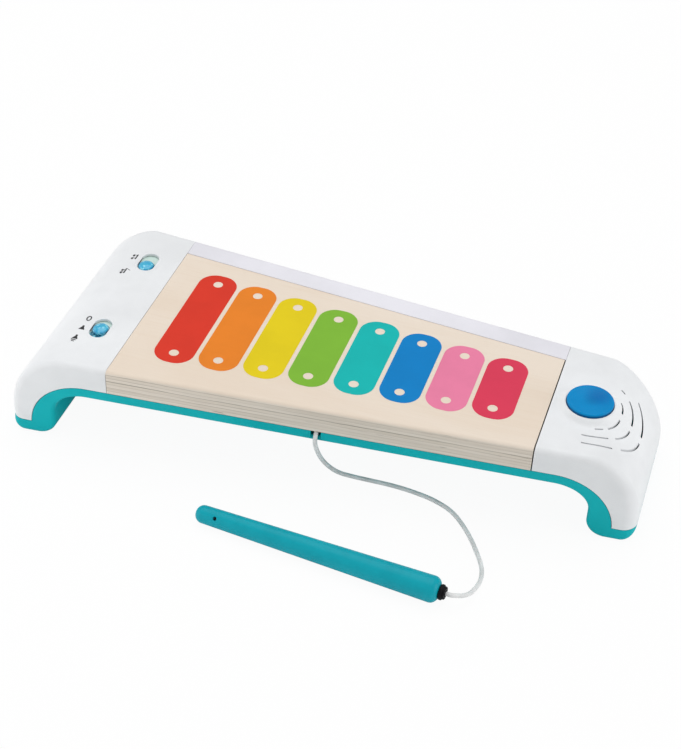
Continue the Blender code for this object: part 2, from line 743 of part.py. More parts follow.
def add_well(posts, bores, holes, x, y, floor, depth, top):
    """A well for a screw that comes up from below: its post, its bore and the hole in its ledge."""
    ledge = floor + depth
    add_cylinder(posts, x, y, floor + WALL / 2, top, WELL_RADIUS)
    add_cylinder(bores, x, y, floor - OVERRUN, ledge, WELL_BORE_RADIUS)
    add_cylinder(holes, x, y, ledge - WALL / 2, top + OVERRUN, SCREW_RADIUS + SCREW_HOLE_SPARE)


def door_outline(spare):
    """The battery door's outline, larger by spare."""
    half_length = DOOR_LENGTH / 2 + spare
    half_width = DOOR_WIDTH / 2 + spare
    corners = [(-half_length, -half_width), (half_length, -half_width),
               (half_length, half_width), (-half_length, half_width)]
    rounded = round_corners(corners, DOOR_CORNER_RADIUS + spare)
    return [(x, BATTERY_Y + y) for x, y in rounded]


def panel_well_top():
    return PANEL_BOTTOM_Z - CLEARANCE


def end_boss_low(floor, depth):
    """The lower end of a post that hangs from a white end over a well."""
    return floor + depth + WELL_WALL + CLEARANCE


def add_seat(bm, radius, depth, top):
    """A cylinder for the speaker's seat whose foot follows the belly at a depth in its wall."""
    wall = add_cylinder(bm, SPEAKER_X, SPEAKER_Y, BELLY_Z, top, radius, ROUND_STEPS)
    for vert in wall:
        if vert.co.z < SPEAKER_SEAT_Z - CLEARANCE:
            vert.co.z = belly_z(vert.co.x, depth)


def make_bottom():
    """The coloured bottom: belly, two legs, wells, battery bay and speaker seat in one moulding."""
    rows = bottom_half_rows(-1)[:0:-1] + bottom_half_rows(1)
    bottom = add_object("bottom_housing", skin("bottom_housing", rows, True), "teal_plastic")
    thicken(bottom, WALL)
    posts = bmesh.new()
    bores = bmesh.new()
    holes = bmesh.new()
    for x, y in panel_screw_places():
        add_well(posts, bores, holes, x, y, BELLY_Z, WELL_LEDGE_DEPTH, panel_well_top())
    for side in (-1, 1):
        for x, y in end_screw_places(side, BOSS_X, BOSS_FROM_EDGE):
            top = BELLY_Z + WELL_LEDGE_DEPTH + WELL_WALL
            add_well(posts, bores, holes, x, y, BELLY_Z, WELL_LEDGE_DEPTH, top)
        for x, y in end_screw_places(side, FOOT_BOSS_X, FOOT_BOSS_FROM_EDGE):
            add_well(posts, bores, holes, x, y, 0, FOOT_WELL_DEPTH, FOOT_WELL_DEPTH + WELL_WALL)
    join(bottom, add_object("well_posts", mesh_from(posts, "well_posts")))

    bay = bmesh.new()
    half_x = BAY_LENGTH / 2
    half_y = BAY_WIDTH / 2
    add_box(bay, (-half_x - BAY_WALL, BATTERY_Y - half_y - BAY_WALL, BELLY_Z + WALL / 2),
            (half_x + BAY_WALL, BATTERY_Y + half_y + BAY_WALL, BAY_ROOF_Z + BAY_WALL))
    join(bottom, add_object("bay_walls", mesh_from(bay, "bay_walls")))
    ledge_top = BELLY_Z + DOOR_THICKNESS + CLEARANCE + DOOR_PAD_LEDGE
    pad = bmesh.new()
    plate(pad, door_outline(DOOR_PAD_EDGE), BELLY_Z + WALL / 2, ledge_top)
    join(bottom, add_object("bay_pad", mesh_from(pad, "bay_pad")))
    base = bmesh.new()
    add_cylinder(base, DOOR_SCREW_X, BATTERY_Y, BELLY_Z + WALL / 2, ledge_top,
                 DOOR_TAB_RADIUS + DOOR_PAD_EDGE, ROUND_STEPS)
    join(bottom, add_object("boss_base", mesh_from(base, "boss_base")))
    boss = bmesh.new()
    add_cylinder(boss, DOOR_SCREW_X, BATTERY_Y, BELLY_Z + WALL / 2, DOOR_BOSS_TOP_Z, WELL_RADIUS)
    join(bottom, add_object("door_boss", mesh_from(boss, "door_boss")))

    seat = bmesh.new()
    add_seat(seat, SPEAKER_SEAT_RADIUS, WALL / 2, SPEAKER_SEAT_Z)
    join(bottom, add_object("speaker_seat", mesh_from(seat, "speaker_seat")))
    hollow = bmesh.new()
    add_seat(hollow, SPEAKER_SEAT_RADIUS - SPEAKER_SEAT_WALL, WALL + CLEARANCE,
             SPEAKER_SEAT_Z + OVERRUN)
    cut(bottom, add_object("speaker_hollow", mesh_from(hollow, "speaker_hollow")))

    recess = bmesh.new()
    plate(recess, door_outline(CLEARANCE), BELLY_Z - OVERRUN, BELLY_Z + DOOR_THICKNESS + CLEARANCE)
    cut(bottom, add_object("door_recess", mesh_from(recess, "door_recess")))
    tab = bmesh.new()
    add_cylinder(tab, DOOR_SCREW_X, BATTERY_Y, BELLY_Z - OVERRUN,
                 BELLY_Z + DOOR_THICKNESS + CLEARANCE, DOOR_TAB_RADIUS + CLEARANCE, ROUND_STEPS)
    cut(bottom, add_object("tab_recess", mesh_from(tab, "tab_recess")))

    add_box(bores, (-half_x, BATTERY_Y - half_y, BELLY_Z - OVERRUN),
            (half_x, BATTERY_Y + half_y, BAY_ROOF_Z))
    add_cylinder(bores, DOOR_SCREW_X, BATTERY_Y, BELLY_Z, DOOR_BOSS_TOP_Z - WALL / 2,
                 DOOR_SCREW_RADIUS + CLEARANCE)
    lip = front_y(CORD_X)
    inside = lip + WALL
    floor = PARTING_Z - NOTCH_DEPTH
    fall = NOTCH_LIP_DROP / WALL
    edge_x = CORD_X - NOTCH_WIDTH / 2
    profile = [(lip - OVERRUN, PARTING_Z + OVERRUN), (lip - OVERRUN, floor - (OVERRUN + WALL) * fall),
               (inside, floor), (inside + OVERRUN, floor), (inside + OVERRUN, PARTING_Z + OVERRUN)]
    prism(bores, [(edge_x, y, z) for y, z in profile], (NOTCH_WIDTH, 0, 0))
    cut(bottom, add_object("bottom_bores", mesh_from(bores, "bottom_bores")))
    cut(bottom, add_object("screw_holes", mesh_from(holes, "screw_holes")))


def ring_slot(bm, ring, start, end):
    """A curved slot cutter: part of a squared ring around the button."""
    middle = SLOT_RING_FIRST + SLOT_RING_STEP * ring
    steps = max(2, round((end - start) / SLOT_FACET_DEGREES))
    outline = []
    for edge in (1, -1):
        radius = middle + edge * SLOT_WIDTH / 2
        for degrees in np.linspace(start, end, steps + 1)[::edge]:
            angle = math.radians(degrees)
            spread = (abs(math.cos(angle)) ** SLOT_SQUARENESS
                      + abs(math.sin(angle)) ** SLOT_SQUARENESS) ** (1 / SLOT_SQUARENESS)
            outline.append((BUTTON_X + radius / spread * math.cos(angle),
                            BUTTON_Y + radius / spread * math.sin(angle)))
    plate(bm, outline, BELLY_Z, HEIGHT + OVERRUN)


def long_hole(length, width, x, y):
    """The outline of a hole with round ends, along Y."""
    half = length / 2
    corners = [(x - width / 2, y - half), (x + width / 2, y - half),
               (x + width / 2, y + half), (x - width / 2, y + half)]
    return round_corners(corners, width / 2 * ROUND_END_SHARE, 2 * EDGE_STEPS)


def add_collar(shell):
    """The raised collar round the push button, before its hole is cut."""
    collar = turned("button_collar", [(0, COLLAR_ABOVE), (COLLAR_TOP_RADIUS, COLLAR_ABOVE),
                                      (COLLAR_BASE_RADIUS, 0), (COLLAR_BASE_RADIUS, -COLLAR_DEPTH),
                                      (0, -COLLAR_DEPTH)],
                    None, (BUTTON_X, BUTTON_Y, HEIGHT), 2 * ROUND_STEPS)
    join(shell, collar)


def make_end(side):
    """A white end: the shell over a leg, its posts, and the holes that its top carries."""
    name = "right_top_housing" if side > 0 else "left_top_housing"
    shell = add_object(name, skin(name, end_cap_rows(side), side < 0), "white_plastic")
    thicken(shell, WALL)
    posts = bmesh.new()
    bores = bmesh.new()
    sink = WALL / 2
    hole_radius = SCREW_RADIUS + CLEARANCE
    for x, y in end_screw_places(side, BOSS_X, BOSS_FROM_EDGE):
        low = end_boss_low(BELLY_Z, WELL_LEDGE_DEPTH)
        add_cylinder(posts, x, y, low, HEIGHT - sink, BOSS_RADIUS)
        add_cylinder(bores, x, y, low - OVERRUN, UNDER_TOP_Z, hole_radius)
    for x, y in end_screw_places(side, FOOT_BOSS_X, FOOT_BOSS_FROM_EDGE):
        low = end_boss_low(0, FOOT_WELL_DEPTH)
        post = add_cylinder(posts, x, y, low, HEIGHT, BOSS_RADIUS)
        for vert in post:
            if vert.co.z > BELLY_Z:
                vert.co.z = end_surface_z(vert.co.x) - WALL
        add_cylinder(bores, x, y, low - OVERRUN, low + SCREW_LENGTH, hole_radius)
    for x, y, board_top in board_boss_places(side):
        low = board_top + CLEARANCE
        add_cylinder(posts, x, y, low, HEIGHT - sink, BOARD_BOSS_RADIUS)
        add_cylinder(bores, x, y, low - OVERRUN, UNDER_TOP_Z, BOARD_SCREW_RADIUS + CLEARANCE)
    join(shell, add_object(name + "_posts", mesh_from(posts, name + "_posts")))
    if side > 0:
        add_collar(shell)
        add_cylinder(bores, BUTTON_X, BUTTON_Y, HEIGHT - COLLAR_DEPTH - OVERRUN,
                     HEIGHT + COLLAR_ABOVE + OVERRUN, BUTTON_RADIUS + BUTTON_CLEARANCE, 2 * ROUND_STEPS)
        for ring, spans in enumerate(SLOT_SPANS_DEGREES):
            for start, end in spans:
                ring_slot(bores, ring, start, end)
    else:
        for y in (MODE_SWITCH_Y, POWER_SWITCH_Y):
            outline = long_hole(SWITCH_SLOT_LENGTH, SWITCH_SLOT_WIDTH, -SWITCH_X, y)
            plate(bores, outline, UNDER_TOP_Z - OVERRUN, HEIGHT + OVERRUN)
    cut(shell, add_object(name + "_holes", mesh_from(bores, name + "_holes")))


def make_rear_strip():
    """The strip behind the panel: a top and a rear wall between the two ends."""
    rows = []
    for x in (-PANEL_HALF_LENGTH, PANEL_HALF_LENGTH):
        back = rear_y(x)
        row = [(x, panel_rear_y(x) + SEAM_GAP, HEIGHT)]
        for step in range(EDGE_STEPS + 1):
            angle = math.pi / 2 * step / EDGE_STEPS
            row.append((x, back - TOP_EDGE_RADIUS * (1 - math.sin(angle)),
                        HEIGHT - TOP_EDGE_RADIUS * (1 - math.cos(angle))))
        row.append((x, back, PARTING_Z + PARTING_GAP / 2))
        rows.append(row)
    strip = add_object("rear_strip", skin("rear_strip", rows, False), "frosted_plastic")
    thicken(strip, STRIP_WALL)


def tapered_outline(half_length, inset):
    """The panel's outline drawn in from its front and rear edges."""
    return [(-half_length, front_y(-half_length) + inset), (half_length, front_y(half_length) + inset),
            (half_length, panel_rear_y(half_length) - inset),
            (-half_length, panel_rear_y(-half_length) - inset)]


def sensor_screw_places():
    """Two screws near the front corners of the sensor board and one behind its middle."""
    inset = PANEL_RIM + SENSOR_BOARD_EDGE
    x = SENSOR_SCREW_X_SHARE * (PANEL_HALF_LENGTH - inset)
    from_edge = inset + SENSOR_SCREW_EDGE
    return [(-x, front_y(-x) + from_edge), (x, front_y(x) + from_edge),
            (0, panel_rear_y(0) - from_edge)]


def make_panel():
    """The plywood panel, routed hollow from below, with the holes its screws bite into."""
    bm = bmesh.new()
    plate(bm, tapered_outline(PANEL_HALF_LENGTH, 0), PANEL_BOTTOM_Z, HEIGHT)
    front_edges = [edge for edge in bm.edges
                   if all(vert.co.z > SKIN_Z and vert.co.y < 0 for vert in edge.verts)]
    bmesh.ops.bevel(bm, geom=front_edges, offset=PANEL_EDGE_RADIUS, segments=EDGE_STEPS,
                    profile=ROUND_PROFILE_SHARE, affect="EDGES")
    panel = add_object("wood_panel", mesh_from(bm, "wood_panel"), "plywood")
    pocket = bmesh.new()
    corners = tapered_outline(PANEL_HALF_LENGTH - PANEL_RIM, PANEL_RIM)
    plate(pocket, round_corners(corners, POCKET_CORNER_RADIUS), PANEL_BOTTOM_Z - OVERRUN, SKIN_Z)
    cut(panel, add_object("panel_pocket", mesh_from(pocket, "panel_pocket")))
    holes = bmesh.new()
    seat = BELLY_Z + WELL_LEDGE_DEPTH
    for x, y in panel_screw_places():
        add_cylinder(holes, x, y, PANEL_BOTTOM_Z - OVERRUN, seat + SCREW_LENGTH + CLEARANCE,
                     SCREW_RADIUS + CLEARANCE)
    for x, y in sensor_screw_places():
        add_cylinder(holes, x, y, SKIN_Z - CLEARANCE, SKIN_Z + SENSOR_SCREW_BITE + CLEARANCE,
                     SENSOR_SCREW_RADIUS + CLEARANCE)
    cut(panel, add_object("panel_holes", mesh_from(holes, "panel_holes")))


def bar_length(index):
    return LONGEST_BAR + (SHORTEST_BAR - LONGEST_BAR) * index / (BAR_COUNT - 1)


def bar_x(index):
    return (index - (BAR_COUNT - 1) / 2) * BAR_PITCH


def make_bars():
    """The eight printed bars, each with a plain dot left open near its ends."""
    low = HEIGHT + PRINT_GAP
    for index, colour in enumerate(BAR_FINISHES):
        name = "note_bar_" + colour.split("_")[0]
        half = bar_length(index) / 2
        x = bar_x(index)
        half_width = BAR_WIDTH / 2
        corners = [(x - half_width, -half), (x + half_width, -half),
                   (x + half_width, half), (x - half_width, half)]
        bm = bmesh.new()
        plate(bm, round_corners(corners, BAR_CORNER_RADIUS), low, low + PRINT_THICKNESS)
        bar = add_object(name, mesh_from(bm, name), colour, smooth=False)
        dots = bmesh.new()
        for sign in (-1, 1):
            add_cylinder(dots, x, sign * (half - DOT_FROM_END), UNDER_TOP_Z, HEIGHT + OVERRUN,
                         DOT_RADIUS, ROUND_STEPS)
        cut(bar, add_object(name + "_dots", mesh_from(dots, name + "_dots")))


def make_sensor():
    """The touch sensor: a board under the panel's skin, with a copper field below each bar."""
    inset = PANEL_RIM + SENSOR_BOARD_EDGE
    bm = bmesh.new()
    corners = tapered_outline(PANEL_HALF_LENGTH - inset, inset)
    plate(bm, round_corners(corners, POCKET_CORNER_RADIUS - SENSOR_BOARD_EDGE),
          SENSOR_BOARD_TOP_Z - SENSOR_BOARD_THICKNESS, SENSOR_BOARD_TOP_Z)
    board = add_object("sensor_board", mesh_from(bm, "sensor_board"), "circuit_board", smooth=False)
    holes = bmesh.new()
    for x, y in sensor_screw_places():
        add_cylinder(holes, x, y, SENSOR_BOARD_TOP_Z - OVERRUN, HEIGHT,
                     SENSOR_SCREW_RADIUS + BOARD_HOLE_SPARE)
    cut(board, add_object("sensor_holes", mesh_from(holes, "sensor_holes")))


def cross_outline(arm, half_width):
    """The outline of an upright cross, anticlockwise from its right arm."""
    quarter = [(arm, -half_width), (arm, half_width), (half_width, half_width)]
    outline = []
    for turn in range(4):
        for x, y in quarter:
            for _ in range(turn):
                x, y = -y, x
            outline.append((x, y))
    return outline


def make_screw(name, place, radius, length, head_radius, head):
    """A cross-head screw that goes up from the place of its seat, with its head below."""
    profile = [(0, length - head), (radius, length - head), (radius, 0), (head_radius, 0),
               (head_radius, -head), (0, -head)]
    screw = turned(name, profile, "steel", place, SMALL_STEPS)
    x, y, seat = place
    cross = cross_outline(head_radius * RECESS_LENGTH_SHARE / 2, head_radius * RECESS_WIDTH_SHARE / 2)
    bm = bmesh.new()
    plate(bm, [(x + across, y + along) for across, along in cross], seat - 2 * head,
          seat - head * (1 - RECESS_DEPTH_SHARE))
    cut(screw, add_object(name + "_recess", mesh_from(bm, name + "_recess")))


def make_fasteners():
    """Every fixed screw: those of the housing and panel, and the small ones that hold the boards."""
    seat = BELLY_Z + WELL_LEDGE_DEPTH - CLEARANCE
    places = [(x, y, seat) for side in (-1, 1) for x, y in end_screw_places(side, BOSS_X, BOSS_FROM_EDGE)]
    places += [(x, y, FOOT_WELL_DEPTH - CLEARANCE)
               for side in (-1, 1) for x, y in end_screw_places(side, FOOT_BOSS_X, FOOT_BOSS_FROM_EDGE)]
    for index, place in enumerate(places):
        make_screw("housing_screw_" + str(index + 1), place, SCREW_RADIUS, SCREW_LENGTH,
                   SCREW_HEAD_RADIUS, SCREW_HEAD)
    for index, (x, y) in enumerate(panel_screw_places()):
        make_screw("panel_screw_" + str(index + 1), (x, y, seat), SCREW_RADIUS, SCREW_LENGTH,
                   SCREW_HEAD_RADIUS, SCREW_HEAD)
    length = BOARD_SCREW_HEAD + BOARD_THICKNESS + BOARD_SCREW_BITE
    for side, board in ((-1, "switch"), (1, "main")):
        for index, (x, y, top) in enumerate(board_boss_places(side)):
            make_screw(board + "_board_screw_" + str(index + 1), (x, y, top - BOARD_THICKNESS - CLEARANCE),
                       BOARD_SCREW_RADIUS, length, BOARD_SCREW_HEAD_RADIUS, BOARD_SCREW_HEAD)
    seat = SENSOR_BOARD_TOP_Z - SENSOR_BOARD_THICKNESS - CLEARANCE
    length = SENSOR_SCREW_HEAD + SKIN_Z - seat + SENSOR_SCREW_BITE
    for index, (x, y) in enumerate(sensor_screw_places()):
        make_screw("sensor_screw_" + str(index + 1), (x, y, seat), SENSOR_SCREW_RADIUS, length,
                   SENSOR_SCREW_HEAD_RADIUS, SENSOR_SCREW_HEAD)


def make_board(name, low, high, places):
    """A circuit board with a hole for each of its screws."""
    bm = bmesh.new()
    add_box(bm, low, high)
    board = add_object(name, mesh_from(bm, name), "circuit_board", smooth=False)
    holes = bmesh.new()
    for x, y, top in places:
        add_cylinder(holes, x, y, top - OVERRUN, top + OVERRUN, BOARD_SCREW_RADIUS + BOARD_HOLE_SPARE)
    cut(board, add_object(name + "_holes", mesh_from(holes, name + "_holes")))
    return board


def make_boards():
    """The main board with its soldered parts, and the switch board."""
    main = make_board("main_board",
                      (MAIN_BOARD_INNER_X, MAIN_BOARD_FRONT_Y, MAIN_BOARD_TOP_Z - BOARD_THICKNESS),
                      (MAIN_BOARD_OUTER_X, MAIN_BOARD_REAR_Y, MAIN_BOARD_TOP_Z), board_boss_places(1))
    half = SWITCH_BOARD_WIDTH / 2
    make_board("switch_board",
               (-SWITCH_X - half, SWITCH_BOARD_FRONT_Y, SWITCH_BOARD_TOP_Z - BOARD_THICKNESS),
               (-SWITCH_X + half, SWITCH_BOARD_REAR_Y, SWITCH_BOARD_TOP_Z), board_boss_places(-1))
    low = MAIN_BOARD_TOP_Z - BOARD_THICKNESS / 2
    soldered = bmesh.new()
    half = CHIP_SIZE / 2
    x = MAIN_BOARD_INNER_X + MAIN_BOARD_LENGTH * CHIP_SHARE
    add_box(soldered, (x - half, CHIP_Y - half, low),
            (x + half, CHIP_Y + half, MAIN_BOARD_TOP_Z + CHIP_HEIGHT))
    for share, y in zip(CAPACITOR_SHARES, CAPACITOR_YS):
        x = MAIN_BOARD_INNER_X + MAIN_BOARD_LENGTH * share
        add_cylinder(soldered, x, y, low, MAIN_BOARD_TOP_Z + CAPACITOR_HEIGHT, CAPACITOR_RADIUS)
    half_x = CONNECTOR_WIDTH / 2
    half_y = CONNECTOR_LENGTH / 2
    x = MAIN_BOARD_INNER_X + MAIN_BOARD_LENGTH * CONNECTOR_SHARE
    add_box(soldered, (x - half_x, CONNECTOR_Y - half_y, low),
            (x + half_x, CONNECTOR_Y + half_y, MAIN_BOARD_TOP_Z + CONNECTOR_HEIGHT))
    join(main, add_object("soldered_parts", mesh_from(soldered, "soldered_parts")))


def make_button():
    """The push button: a dished cap with a flange and a stem that stands on a silicone dome."""
    top = HEIGHT + BUTTON_ABOVE
    roof = top - BUTTON_DISH - BUTTON_WALL
    flange_top = UNDER_TOP_Z - BUTTON_FLANGE_DROP
    flange_low = flange_top - BUTTON_FLANGE
    inner = BUTTON_RADIUS - BUTTON_WALL
    dome_low = MAIN_BOARD_TOP_Z + CLEARANCE
    stem_low = dome_low + DOME_HEIGHT + CLEARANCE
    dish_radius = BUTTON_RADIUS - 2 * BUTTON_EDGE_RADIUS
    profile = [(0, top - BUTTON_DISH)]
    for share in DISH_SHARES:
        profile.append((dish_radius * share, top - BUTTON_DISH * (1 - share * share)))
    profile += rounded_edge(BUTTON_RADIUS, top, BUTTON_EDGE_RADIUS)
    profile += [(BUTTON_RADIUS, flange_top), (BUTTON_FLANGE_RADIUS, flange_top),
                (BUTTON_FLANGE_RADIUS, flange_low), (inner, flange_low), (inner, roof),
                (BUTTON_STEM_RADIUS, roof), (BUTTON_STEM_RADIUS, stem_low), (0, stem_low)]
    place = Vector((BUTTON_X, BUTTON_Y, stem_low))
    profile = [(x, z - stem_low) for x, z in profile]
    turned("push_button", profile, "blue_plastic", place, 2 * ROUND_STEPS)
    profile = [(0, DOME_HEIGHT), *rounded_edge(DOME_RADIUS, DOME_HEIGHT, DOME_HEIGHT / 2),
               (DOME_RADIUS, 0), (0, 0)]
    turned("button_dome", profile, "silicone", (BUTTON_X, BUTTON_Y, dome_low))


def make_speaker():
    """The speaker: a pressed basket on its seat, a paper cone in it and a magnet below."""
    low = SPEAKER_SEAT_Z + CLEARANCE
    high = low + SPEAKER_FLANGE
    floor = low - SPEAKER_BASKET_DEPTH
    place = (SPEAKER_X, SPEAKER_Y, 0)
    neck = SPEAKER_SEAT_RADIUS - SPEAKER_SEAT_WALL - CLEARANCE
    opening = neck - SPEAKER_METAL
    throat = low - SPEAKER_THROAT
    profile = [(0, floor + SPEAKER_METAL), (SPEAKER_BASKET_RADIUS - SPEAKER_METAL, floor + SPEAKER_METAL),
               (opening, throat), (opening, high), (SPEAKER_RADIUS, high), (SPEAKER_RADIUS, low),
               (neck, low), (neck, throat), (SPEAKER_BASKET_RADIUS, floor), (0, floor)]
    turned("speaker_frame", profile, "steel", place)
    rim = opening - CONE_GAP
    mouth = high - CONE_THICKNESS
    deep = mouth - CONE_DEPTH
    cap = deep + CONE_CAP_RISE
    upper = [(0, cap), (CONE_CAP_RADIUS / 2, cap - CONE_CAP_RISE / 4), (CONE_CAP_RADIUS, deep),
             (rim, mouth)]
    lower = [(x, z - CONE_THICKNESS) for x, z in upper]
    turned("speaker_cone", upper + lower[::-1], "black_plastic", place)
    magnet_top = floor - CLEARANCE
    magnet_low = magnet_top - SPEAKER_MAGNET_HEIGHT
    turned("speaker_magnet", [(0, magnet_top), (SPEAKER_MAGNET_RADIUS, magnet_top),
                              (SPEAKER_MAGNET_RADIUS, magnet_low), (0, magnet_low)],
           "ferrite", place)


def add_oval_dome(bm, place, half_x, half_y, base, shoulder, top):
    """An oval knob: walls with a little draft up to a shoulder, and a dome above it."""
    ball = bmesh.ops.create_uvsphere(bm, u_segments=ROUND_STEPS, v_segments=SMALL_STEPS, radius=1)
    for vert in ball["verts"]:
        share = vert.co.z
        z = base if share < EQUATOR_SHARE else shoulder + (top - shoulder) * share
        vert.co = (place[0] + half_x * vert.co.x, place[1] + half_y * vert.co.y, z)


def make_switch(knob_name, can_name, y, rest):
    """A sliding switch: a domed knob on a plate that hides its hole, over a switch can."""
    knob_y = y + rest
    plate_top = UNDER_TOP_Z - SLIDER_GAP
    plate_low = plate_top - SLIDER_THICKNESS
    root = (plate_top + plate_low) / 2
    bm = bmesh.new()
    add_oval_dome(bm, (-SWITCH_X, knob_y), KNOB_WIDTH / 2, KNOB_LENGTH / 2, root,
                  HEIGHT - KNOB_SHOULDER, HEIGHT + KNOB_ABOVE)
    knob = add_object(knob_name, mesh_from(bm, knob_name), "clear_blue_plastic")
    set_origin(knob, (-SWITCH_X, knob_y, plate_low))
    base = bmesh.new()
    half_x = SLIDER_WIDTH / 2
    half_y = SWITCH_SLOT_LENGTH / 2 + SWITCH_TRAVEL / 2 + SLIDER_COVER
    add_box(base, (-SWITCH_X - half_x, knob_y - half_y, plate_low),
            (-SWITCH_X + half_x, knob_y + half_y, plate_top))
    join(knob, add_object(knob_name + "_plate", mesh_from(base, knob_name + "_plate")))
    peg = bmesh.new()
    half_x = PEG_WIDTH / 2
    half_y = PEG_LENGTH / 2
    add_box(peg, (-SWITCH_X - half_x, knob_y - half_y, plate_low - PEG_DEPTH),
            (-SWITCH_X + half_x, knob_y + half_y, root))
    join(knob, add_object(knob_name + "_peg", mesh_from(peg, knob_name + "_peg")))
    can_top = plate_low - SWITCH_CAN_TOP_GAP
    half_x = SWITCH_CAN_WIDTH / 2
    half_y = SWITCH_CAN_LENGTH / 2
    can = bmesh.new()
    add_box(can, (-SWITCH_X - half_x, y - half_y, SWITCH_BOARD_TOP_Z + CLEARANCE),
            (-SWITCH_X + half_x, y + half_y, can_top))
    item = add_object(can_name, mesh_from(can, can_name), "zinc", smooth=False)
    slot = bmesh.new()
    half_x = PEG_WIDTH / 2 + SWITCH_CAN_SLOT_SPARE
    half_y = (PEG_LENGTH + SWITCH_TRAVEL) / 2 + SWITCH_CAN_SLOT_SPARE
    add_box(slot, (-SWITCH_X - half_x, y - half_y, can_top - SWITCH_CAN_SLOT_DEPTH),
            (-SWITCH_X + half_x, y + half_y, can_top + OVERRUN))
    cut(item, add_object(can_name + "_slot", mesh_from(slot, can_name + "_slot")))


def tube(points, radius, resolution):
    """A round wire or cord through points, as a closed mesh."""
    curve = bpy.data.curves.new("line", "CURVE")
    curve.dimensions = "3D"
    curve.bevel_depth = radius
    curve.bevel_resolution = resolution
    curve.use_fill_caps = True
    spline = curve.splines.new("POLY")
    spline.points.add(len(points) - 1)
    for target, point in zip(spline.points, points):
        target.co = (*point, 1)
    wire = bpy.data.objects.new("line", curve)
    bpy.context.scene.collection.objects.link(wire)
    depsgraph = bpy.context.evaluated_depsgraph_get()
    mesh = bpy.data.meshes.new_from_object(wire.evaluated_get(depsgraph))
    bpy.data.objects.remove(wire, do_unlink=True)
    bm = bmesh.new()
    bm.from_mesh(mesh)
    bmesh.ops.remove_doubles(bm, verts=bm.verts, dist=MERGE_DISTANCE)
    bpy.data.meshes.remove(mesh)
    return bm


def make_door():
    """The battery door, flush with the belly, and the screw that holds it."""
    high = BELLY_Z + DOOR_THICKNESS
    bm = bmesh.new()
    plate(bm, door_outline(0), BELLY_Z, high)
    door = add_object("battery_door", mesh_from(bm, "battery_door"), "teal_plastic")
    tab = bmesh.new()
    add_cylinder(tab, DOOR_SCREW_X, BATTERY_Y, BELLY_Z, high, DOOR_TAB_RADIUS, ROUND_STEPS)
    join(door, add_object("door_tab", mesh_from(tab, "door_tab")))
    holes = bmesh.new()
    add_cylinder(holes, DOOR_SCREW_X, BATTERY_Y, BELLY_Z - OVERRUN,
                 BELLY_Z + DOOR_SCREW_HEAD + CLEARANCE, DOOR_SCREW_HEAD_RADIUS + CLEARANCE, ROUND_STEPS)
    cut(door, add_object("door_head_hole", mesh_from(holes, "door_head_hole")))
    through = bmesh.new()
    add_cylinder(through, DOOR_SCREW_X, BATTERY_Y, BELLY_Z, high + OVERRUN,
                 DOOR_SCREW_RADIUS + SCREW_HOLE_SPARE)
    cut(door, add_object("door_screw_hole", mesh_from(through, "door_screw_hole")))
    make_screw("battery_door_screw", (DOOR_SCREW_X, BATTERY_Y, BELLY_Z + DOOR_SCREW_HEAD),
               DOOR_SCREW_RADIUS, DOOR_SCREW_LENGTH, DOOR_SCREW_HEAD_RADIUS, DOOR_SCREW_HEAD)


def spring_points(start_x, end_x, y):
    """Points of a conical spring along X, wide at its start."""
    points = []
    count = CONTACT_SPRING_TURNS * SPRING_POINTS_PER_TURN
    for step in range(count + 1):
        share = step / count
        angle = 2 * math.pi * CONTACT_SPRING_TURNS * share
        radius = (CONTACT_SPRING_WIDE_RADIUS
                  + (CONTACT_SPRING_NARROW_RADIUS - CONTACT_SPRING_WIDE_RADIUS) * share)
        points.append((start_x + (end_x - start_x) * share, y + radius * math.cos(angle),
                       BATTERY_AXIS_Z + radius * math.sin(angle)))
    return points


def make_batteries():
    """Three cells laid head to tail, a contact strip at both ends and a spring at each flat end."""
    strip_x = BAY_LENGTH / 2 - CLEARANCE - CONTACT_THICKNESS
    tip_x = strip_x - CLEARANCE
    pitch = 2 * BATTERY_RADIUS + BATTERY_SPACE
    wire = CONTACT_SPRING_WIRE / 2
    for index in range(BATTERY_COUNT):
        sign = 1 if index % 2 == 0 else -1
        y = BATTERY_Y + (index - (BATTERY_COUNT - 1) / 2) * pitch
        profile = [(0, BATTERY_TIP), (BATTERY_TIP_RADIUS, BATTERY_TIP), (BATTERY_TIP_RADIUS, 0),
                   (BATTERY_RADIUS - BATTERY_EDGE, 0), (BATTERY_RADIUS, -BATTERY_EDGE),
                   (BATTERY_RADIUS, BATTERY_EDGE - BATTERY_LENGTH),
                   (BATTERY_RADIUS - BATTERY_EDGE, -BATTERY_LENGTH), (0, -BATTERY_LENGTH)]
        cell = turned("battery_" + str(index + 1), profile, "battery_wrap",
                      (sign * (tip_x - BATTERY_TIP), y, BATTERY_AXIS_Z))
        cell.rotation_euler = (0, sign * math.pi / 2, 0)
        flat_x = -sign * (tip_x - wire)
        near_x = flat_x + sign * (2 * tip_x - BATTERY_TIP - BATTERY_LENGTH - CLEARANCE
                                  - CONTACT_SPRING_WIRE)
        name = "contact_spring_" + str(index + 1)
        coil = tube(spring_points(flat_x, near_x, y), wire, 1)
        add_object(name, mesh_from(coil, name), "steel")
    half_y = (BATTERY_COUNT - 1) / 2 * pitch + CONTACT_SIZE / 2
    half_z = CONTACT_SIZE / 2
    for end, name in ((-1, "contact_strip_left"), (1, "contact_strip_right")):
        edges = sorted((end * strip_x, end * (strip_x + CONTACT_THICKNESS)))
        strip = bmesh.new()
        add_box(strip, (edges[0], BATTERY_Y - half_y, BATTERY_AXIS_Z - half_z),
                (edges[1], BATTERY_Y + half_y, BATTERY_AXIS_Z + half_z))
        add_object(name, mesh_from(strip, name), "steel", smooth=False)


